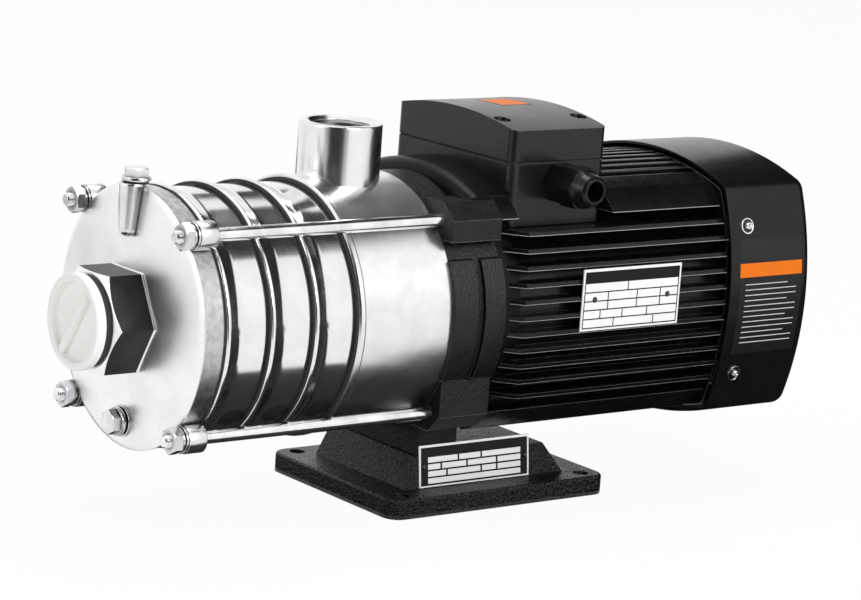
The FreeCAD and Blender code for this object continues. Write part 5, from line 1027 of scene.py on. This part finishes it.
    def bosses(self) -> None:
        """Rod lugs, the tapered fill boss and the drain boss."""
        shape = Shape()
        for across, height in rod_spots():
            shape.lathe((
                (0.0, self.lug_bore), (0.0, self.lug_radius), (self.lug_long, self.lug_radius),
                (self.lug_long, self.lug_bore),
            ), (self.lug_front, across, height), steps=WASHER_STEPS, bevel=0.5)
        toe, width = self.fill_nose
        nose = [(toe * (1 - math.cos(math.pi * k / 20)), width * math.sin(math.pi * k / 20)) for k in range(11)]
        long, lean, bore = self.fill_long, self.fill_lean, self.plug_bore
        depth = long - 10.0
        boss = Shape().lathe((*nose, (long - 1.0, 7.3), (long, 6.8), (long, bore), (depth, bore), (depth, 0.0)),
                             (-2.4, 0.0, self.fill_top - long), Axis.UP, steps=96).mesh
        upright = Matrix(((1, 0, lean, -lean * self.fill_top), (0, 1, 0, 0), (0, 0, 1, 0), (0, 0, 0, 1)))
        bmesh.ops.transform(boss, matrix=upright, verts=boss.verts)
        shape.join(boss)
        half, radius = self.drain_half, self.drain_radius
        shape.lathe(((-half, bore), (-half, radius), (half, radius), (half, bore)), (0.0, 0.0, self.drain_height),
                    steps=PLUG_STEPS, bevel=0.4)
        shape.publish("cover_bosses", Finishes.LUG, crease=26.0)

    def plugs(self) -> None:
        """Fill and drain plugs with their flanges."""
        under, over = 1.0, 3.0
        for body, spot, axis in (("fill", (0.0, 0.0, self.fill_top), Axis.UP),
                                 ("drain", (-self.drain_half, 0.0, self.drain_height), Axis.AHEAD)):
            shape = Shape().lathe((
                (-self.plug_long, 0.0), (-self.plug_long, self.plug_radius), (under, self.plug_radius),
                (under, self.plug_flange), (over, self.plug_flange), (over, 0.0),
            ), spot, axis, steps=PLUG_STEPS, bevel=0.3)
            head = Vector(spot) + axis.value @ Vector((over, 0.0, 0.0))
            shape.hexagon(self.plug_flats, self.plug_head, tuple(head), axis, chamfers=(0.0, 0.55))
            shape.publish(f"{body}_plug_head", Finishes.PLUG, body, replaces=(f"{body}_plug",), crease=26.0)


@dataclass
class Stages:
    """The three pressed stages and what turns in them."""

    count: int = 3
    first_lip: float = 15.0
    pitch: float = 27.5
    radius: float = 67.0
    wall: float = 2.0
    lip_radius: float = 70.0
    lip_edge: float = 1.1
    lip_long: float = 1.9
    lip_blend: float = 7.6
    crest_bend: float = 2.6
    barrel_bend: float = 12.0
    dimple_station: float = 19.0
    dimple_turn: float = 43.0
    dimple_radius: float = 8.0
    dimple_tall: float = 1.1
    spigot: float = 3.4
    floor_front: float = 4.4
    floor_rear: float = 5.9
    bore: float = 26.0

    def build(self) -> None:
        """Builds the casings and dresses the inner pieces."""
        for stage in range(self.count):
            self.casing(stage)
        names = [f"{kind}_{stage + 1}" for kind in ("impeller", "diffuser") for stage in range(self.count)]
        dress(Finishes.PRESSED, *names, "impeller_spacers")
        dress(Finishes.RUBBER, "casing_gaskets")
        dress(Finishes.RING, "neck_rings")

    def casing(self, stage: int) -> None:
        """One polished casing with its rolled lip.

        Args:
            stage: Its number from the suction end, from zero.
        """
        start = self.first_lip + stage * self.pitch
        end = self.pitch + self.spigot
        inner = self.radius - self.wall
        fall = self.lip_radius - self.radius
        slope = math.atan2(fall, self.lip_blend)
        front = self.lip_long - self.crest_bend * math.tan(slope / 2)
        rear = self.lip_long + self.lip_blend + self.barrel_bend * math.tan(slope / 2)
        edge = [(self.lip_edge * (1 - math.cos(turn)), self.lip_radius - self.lip_edge * (1 - math.sin(turn)))
                for turn in (math.pi / 2 * k / 6 for k in range(7))]
        crest = [(front + self.crest_bend * math.sin(turn), self.lip_radius - self.crest_bend * (1 - math.cos(turn)))
                 for turn in (slope * k / 6 for k in range(7))]
        run = [(rear - self.barrel_bend * math.sin(turn), self.radius + self.barrel_bend * (1 - math.cos(turn)))
               for turn in (slope * (1 - k / 6) for k in range(7))]
        root = self.radius + 0.3
        profile = [(0.0, root), *edge, *crest, *run, (end, self.radius), (end, inner), (self.floor_rear, inner),
                   (self.floor_rear, self.bore), (self.floor_front, self.bore), (self.floor_front, root)]
        shape = Shape().lathe(profile, (start, 0.0, 0.0), steps=LARGE_STEPS)
        shape.publish(f"polished_casing_{stage + 1}", Finishes.POLISHED, replaces=(f"stage_casing_{stage + 1}",),
                      crease=24.0)
        # The dimple's dark colour is painted shade.
        dimple = Shape().swell(self.radius, self.dimple_radius, self.dimple_tall)
        dimple.move((start + self.dimple_station, 0.0, 0.0), -self.dimple_turn)
        dimple.publish(f"pressed_dimple_{stage + 1}", Finishes.DIMPLE)


@dataclass
class Outlet:
    """Discharge casing: blasted barrel and bright port."""

    lip: float = 97.5
    lip_radius: float = 71.0
    lip_long: float = 3.2
    radius: float = 70.4
    length: float = 61.3
    wall: float = 3.4
    land_radius: float = 67.3
    seal_bore: float = 17.05
    port_station: float = 127.9
    port_radius: float = 22.75
    port_bore: float = 15.15
    port_top: float = 99.4
    port_root: float = 60.0
    thread_pitch: float = 2.309
    thread_depth: float = 1.2

    def build(self) -> None:
        """Builds the casing with its port."""
        self.barrel()
        self.neck()
        self.thread()

    def barrel(self) -> None:
        """The barrel with its lip and rear wall."""
        inner = self.radius - self.wall
        shape = Shape().lathe((
            (0.0, self.land_radius), (0.0, self.lip_radius - 0.9), (0.9, self.lip_radius),
            (self.lip_long, self.lip_radius), (self.lip_long + 0.9, self.radius), (self.length, self.radius),
            (self.length, self.seal_bore), (self.length - 3.6, self.seal_bore), (self.length - 3.6, 63.4),
            (self.length - 7.2, inner), (8.0, inner), (4.4, self.land_radius),
        ), (self.lip, 0.0, 0.0), steps=LARGE_STEPS)
        shape.publish("blasted_barrel", Finishes.BARREL, replaces=("discharge_casing",), crease=24.0)

    def neck(self) -> None:
        """The upright neck of the port."""
        top, radius, inner = self.port_top - self.port_root, self.port_radius, self.port_radius - 3.0
        shape = Shape().lathe((
            (0.0, inner), (0.0, radius), (top - 1.2, radius), (top - 0.3, radius - 0.5), (top, radius - 1.4),
            (top, self.port_bore + 3.2), (top - 2.0, self.port_bore + 1.4), (top - 2.0, inner),
        ), (self.port_station, 0.0, self.port_root), Axis.UP, steps=192)
        shape.publish("port_neck", Finishes.NECK, crease=28.0)

    def thread(self) -> None:
        """The rings of the thread in the port."""
        mouth, back = self.port_top - self.port_root - 2.2, self.port_radius - 3.5
        turns = []
        along = mouth
        while along > 8.0:
            turns += [(along, self.port_bore + self.thread_depth), (along - 1.15, self.port_bore)]
            along -= self.thread_pitch
        shape = Shape().lathe((*turns, (2.0, self.port_bore), (2.0, back), (mouth, back)),
                              (self.port_station, 0.0, self.port_root), Axis.UP, steps=128)
        shape.publish("port_thread", Finishes.THREAD, crease=30.0)


@dataclass
class TieRods:
    """Four rods with washers, spring washers and nuts."""

    radius: float = 3.6
    start: float = -9.6
    end: float = 176.4
    thread_pitch: float = 1.0
    thread_turns: int = 9
    nut_station: float = -5.99
    nut_flats: float = 13.0
    nut_long: float = 5.0
    hole: float = 3.9

    def build(self) -> None:
        """Builds the rods and their fasteners."""
        self.rods()
        self.nuts()
        self.washers()

    def rods(self) -> None:
        """The rods, with a thread where they stand out of their nuts.

        Mirror rays pass them by: their images in the casings would wind round the lips as bright curls.
        """
        threads = []
        for turn in range(self.thread_turns):
            along = 0.6 + turn * self.thread_pitch
            threads += [(along, self.radius - 0.5), (along + 0.4, self.radius), (along + 0.6, self.radius)]
        length = self.end - self.start
        profile = [(0.0, 0.0), (0.0, self.radius - 0.8), *threads, (length, self.radius), (length, 0.0)]
        shape = Shape()
        for across, height in rod_spots():
            shape.lathe(profile, (self.start, across, height), steps=40)
        bright = shape.publish("bright_tie_rods", Finishes.ROD, replaces=("tie_rods",), crease=24.0)
        bright.visible_glossy = False

    def nuts(self) -> None:
        """The nuts before the cover."""
        shape = Shape()
        for across, height in rod_spots():
            shape.hexagon(self.nut_flats, self.nut_long, (self.nut_station, across, height), bore=self.radius + 0.05,
                          chamfers=(0.55, 0.3))
        shape.publish("zinc_nuts", Finishes.ZINC, replaces=("tie_rod_nuts",), crease=26.0)

    def washers(self) -> None:
        """The washers and the spring washers under the nuts."""
        for node, station, radius, thick in (("washers", 0.6, 7.4, 1.4), ("spring_washers", -1.0, 6.6, 1.6)):
            profile = ((0.0, self.hole), (0.0, radius), (thick, radius), (thick, self.hole))
            shape = Shape()
            for across, height in rod_spots():
                shape.lathe(profile, (station, across, height), steps=WASHER_STEPS, bevel=0.3)
            shape.publish(f"zinc_{node}", Finishes.ZINC, replaces=(f"tie_rod_{node}",))


@dataclass
class Motor:
    """Bracket, foot, housing, fan cover and the inner pieces of the motor."""

    collar_start: float = 178.0
    collar_end: float = 206.0
    collar_radius: float = 76.4
    collar_rise: float = 5.4
    collar_spread: float = 34.0
    collar_half: float = 44.0
    collar_fade: float = 5.0
    collar_root: float = 69.4
    collar_bore: float = 69.0
    screw_station: float = 365.0
    screw_height: float = 43.0

    def build(self) -> None:
        """Dresses the motor and what carries it."""
        dress(Finishes.BRACKET, "motor_bracket")
        dress(Finishes.CASTING, "foot")
        dress(Finishes.HOUSING, "motor_housing", "rear_end_shield")
        dress(Finishes.COWL, "fan_cover")
        dress(Finishes.ZINC, "foot_screws", "motor_screws")
        self.cowl_screws()
        self.collar()
        dress(Finishes.GROUND, "shaft", "impeller_nut", "fan_circlip")
        dress(Finishes.RUBBER, "seal_seat_cup", "water_slinger")
        dress(Finishes.CERAMIC, "seal_seat")
        dress(Finishes.SEAL_SHELL, "rotary_seal")
        dress(Finishes.BEARING, "bearing_inner_races", "bearing_outer_races", "bearing_ball_cages")
        dress(Finishes.SHEET, "rotor_core", "stator_core")
        dress(Finishes.COPPER, "stator_windings")
        dress(Finishes.FAN, "cooling_fan")

    def cowl_screws(self) -> None:
        """Flanged screws of the fan cover: a light flange, a groove ring coloured dark as painted shade, and a bright
        head.
        """
        flanges, grooves = Shape(), Shape()
        for side, rise in QUARTERS:
            height = rise * self.screw_height
            drop = COWL_BOW - math.sqrt(COWL_BOW ** 2 - height ** 2)
            spot = (self.screw_station, side * (COWL_HALF - drop), height)
            lean = -side * math.degrees(math.asin(height / COWL_BOW))
            axis = Axis.NEAR if side < 0 else Axis.FAR
            flange = Shape().lathe((
                (-2.4, 0.0), (-2.4, 2.4), (0.2, 2.4), (0.2, 3.7), (0.7, 3.9), (0.7, 4.6), (-0.2, 4.8), (-0.2, 5.0),
                (-0.5, 5.0), (-0.5, 2.6), (-2.6, 2.6), (-2.6, 0.0),
            ), axis=axis, steps=SCREW_STEPS)
            flange.lathe((
                (0.3, 0.0), (0.3, 2.5), (1.9, 2.4), (2.5, 1.9), (2.5, 1.1), (1.0, 1.1), (1.0, 0.0),
            ), axis=axis, steps=SCREW_STEPS)
            flanges.join(flange.move(spot, lean).mesh)
            groove = Shape().lathe(((-0.1, 1.0), (-0.1, 3.8), (0.35, 3.8), (0.35, 1.0)), axis=axis,
                                   steps=SCREW_STEPS)
            grooves.join(groove.move(spot, lean).mesh)
        flanges.publish("cowl_screw_heads", Finishes.ROD, replaces=("fan_cover_screws",), crease=26.0)
        grooves.publish("cowl_screw_grooves", Finishes.SOCKET)

    def collar(self) -> None:
        """The raised top of the bracket that hides the ends of the fins."""
        start, end, root, bore = self.collar_start, self.collar_end, self.collar_root, self.collar_bore

        def reach(angle: float) -> float:
            """Outer radius at an angle.

            Args:
                angle: The angle round the shaft, a quarter turn at the top.

            Returns:
                The radius.
            """
            aside = abs(math.degrees(angle) - 90.0)
            share = min(1.0, max(0.0, (self.collar_half - aside) / self.collar_fade))
            top = self.collar_radius + self.collar_rise * (aside / self.collar_spread) ** 2
            return root + (top - root) * share * share * (3 - 2 * share)

        shape = Shape().skin((
            lambda angle: (start, bore), lambda angle: (start, reach(angle) - 6.0),
            lambda angle: (start + 0.7, reach(angle) - 3.6), lambda angle: (start + 2.1, reach(angle) - 1.8),
            lambda angle: (start + 4.4, reach(angle) - 0.5), lambda angle: (start + 7.0, reach(angle)),
            lambda angle: (end, reach(angle)), lambda angle: (end, bore),
        ), steps=BOSS_STEPS, closed=True)
        shape.publish("bracket_collar", Finishes.COLLAR, crease=30.0)


@dataclass
class TerminalBox:
    """Box, lid, gland and terminals."""

    def build(self) -> None:
        """Dresses the box."""
        dress(Finishes.BOX, "terminal_box", "terminal_box_lid")
        dress(Finishes.ZINC, "lid_screws")
        dress(Finishes.RUBBER, "box_gasket", "gland_seal")
        dress(Finishes.GLAND, "gland_body", "gland_nut", "gland_locknut")
        dress(Finishes.BLOCK, "terminal_block")
        dress(Finishes.BRASS, "terminal_studs", "terminal_links")


@dataclass
class Plates:
    """Nameplates and the plain film panels, all without words."""

    ink: float = 0.04
    rule_half: float = 0.34
    motor_spot: Point = (279.3, -76.1, 8.1)
    motor_size: tuple[float, float] = (71.0, 34.6)
    pump_spot: Point = (204.8, -41.61, -87.3)
    pump_size: tuple[float, float] = (77.0, 23.4)
    pump_lean: float = 7.2
    lid_crown: float = 105.6
    lid_arch: float = 229.6
    panel: tuple[float, float] = (359.0, 407.0)

    def build(self) -> None:
        """Builds the plates and panels."""
        dress(Finishes.PLATE, "motor_nameplate", "pump_nameplate")
        dress(Finishes.RIVET, "nameplate_rivets")
        self.motor_plate()
        self.pump_plate()
        self.side_panel()
        self.lid_panel()

    def cell(self, shape: Shape, along: tuple[float, float], up: tuple[float, float], layer: int = 1) -> None:
        """Adds one printed field to a plate that lies about the origin.

        Args:
            shape: The print that it joins.
            along: Its start and end along the plate.
            up: Its lower and upper edge.
            layer: Number of ink layers up to its face.
        """
        shape.block((along[0], -self.ink * layer, up[0]), (along[1], 0.1, up[1]))

    def motor_plate(self) -> None:
        """Dark header band and ruled empty fields."""
        half, tall = self.motor_size[0] / 2 - 1.5, self.motor_size[1] / 2 - 1.5
        band = tall - 6.6
        line = self.rule_half
        ink = Shape()
        self.cell(ink, (-half, half), (band, tall))
        rows = [band - step * (band + tall) / 5 for step in range(1, 6)]
        for height in rows:
            self.cell(ink, (-half, half), (height - line, height + line))
        for edge in (-half, half):
            self.cell(ink, (edge - line, edge + line), (-tall - line, tall))
        for top, bottom, places in ((band, rows[0], (-3.0,)), (rows[0], rows[2], (-17.0, 4.0, 21.0)),
                                    (rows[2], rows[3], (-22.0, -6.0, 12.0)), (rows[3], rows[4], (-12.0, 17.0))):
            for place in places:
                self.cell(ink, (place - line, place + line), (bottom, top))
        ink.move(self.motor_spot).publish("motor_plate_print", Finishes.PRINT)

    def pump_plate(self) -> None:
        """Dark field with rows of empty white boxes."""
        half, tall = self.pump_size[0] / 2 - 1.1, self.pump_size[1] / 2 - 1.1
        ink = Shape()
        self.cell(ink, (-half, half), (-tall, tall))
        ink.move(self.pump_spot, self.pump_lean).publish("pump_plate_print", Finishes.PRINT)
        boxes = Shape()
        bottom, pitch, box = -tall + 1.0, 3.9, 3.0
        for row, columns in enumerate((((-32.5, 32.5),), ((-32.5, -20.0), (-18.8, 4.0), (5.2, 15.0), (16.2, 32.5)),
                                       ((-32.5, -24.0), (-22.8, -6.0), (-4.8, 15.0), (16.2, 32.5)),
                                       ((-32.5, -12.0), (-10.8, 4.0), (5.2, 32.5)))):
            for column in columns:
                self.cell(boxes, column, (bottom + row * pitch, bottom + row * pitch + box), 2)
        boxes.move(self.pump_spot, self.pump_lean).publish("pump_plate_boxes", Finishes.PLATE)

    def cowl_side(self, height: float) -> Vector:
        """Place on the near side of the fan cover at a height."""
        return Vector((0.0, -COWL_HALF + COWL_BOW - math.sqrt(COWL_BOW ** 2 - height ** 2), height))

    def lid_top(self, across: float) -> Vector:
        """Place on the arched lid at an offset from the shaft."""
        return Vector((0.0, across, self.lid_crown - self.lid_arch + math.sqrt(self.lid_arch ** 2 - across ** 2)))

    def side_panel(self) -> None:
        """Dark film with a plain coloured stripe and thin rules on the fan cover."""
        Shape().film(self.panel, (-31.0, 36.0), self.cowl_side, 0.05).publish("side_film", Finishes.FILM)
        Shape().film(self.panel, (14.0, 22.0), self.cowl_side, 0.09).publish("side_stripe", Finishes.ORANGE)
        first, pitch, tall = 9.5, 3.1, 0.55
        rules = Shape()
        for row in range(12):
            height = first - row * pitch
            rules.film((363.5, 403.0 if row % 3 else 396.0), (height, height + tall), self.cowl_side, 0.09)
        rules.publish("side_rules", Finishes.PALE)

    def lid_panel(self) -> None:
        """Small plain coloured patch on the lid."""
        Shape().film((233.0, 256.0), (-6.0, 19.0), self.lid_top, 0.03).publish("lid_film", Finishes.FILM, "box_lid")
        Shape().film((234.5, 254.5), (-4.5, 17.5), self.lid_top, 0.06).publish("lid_patch", Finishes.ORANGE, "box_lid")


def main() -> None:
    """Builds the picture from the studio inwards."""
    logging.basicConfig(level=logging.INFO, format="%(name)s: %(message)s")
    Studio().build()
    for assembly in (SuctionEnd(), Stages(), Outlet(), TieRods(), Motor(), TerminalBox(), Plates()):
        assembly.build()
        LOG.info("%s done", type(assembly).__name__)


if __name__ == "__main__":
    main()
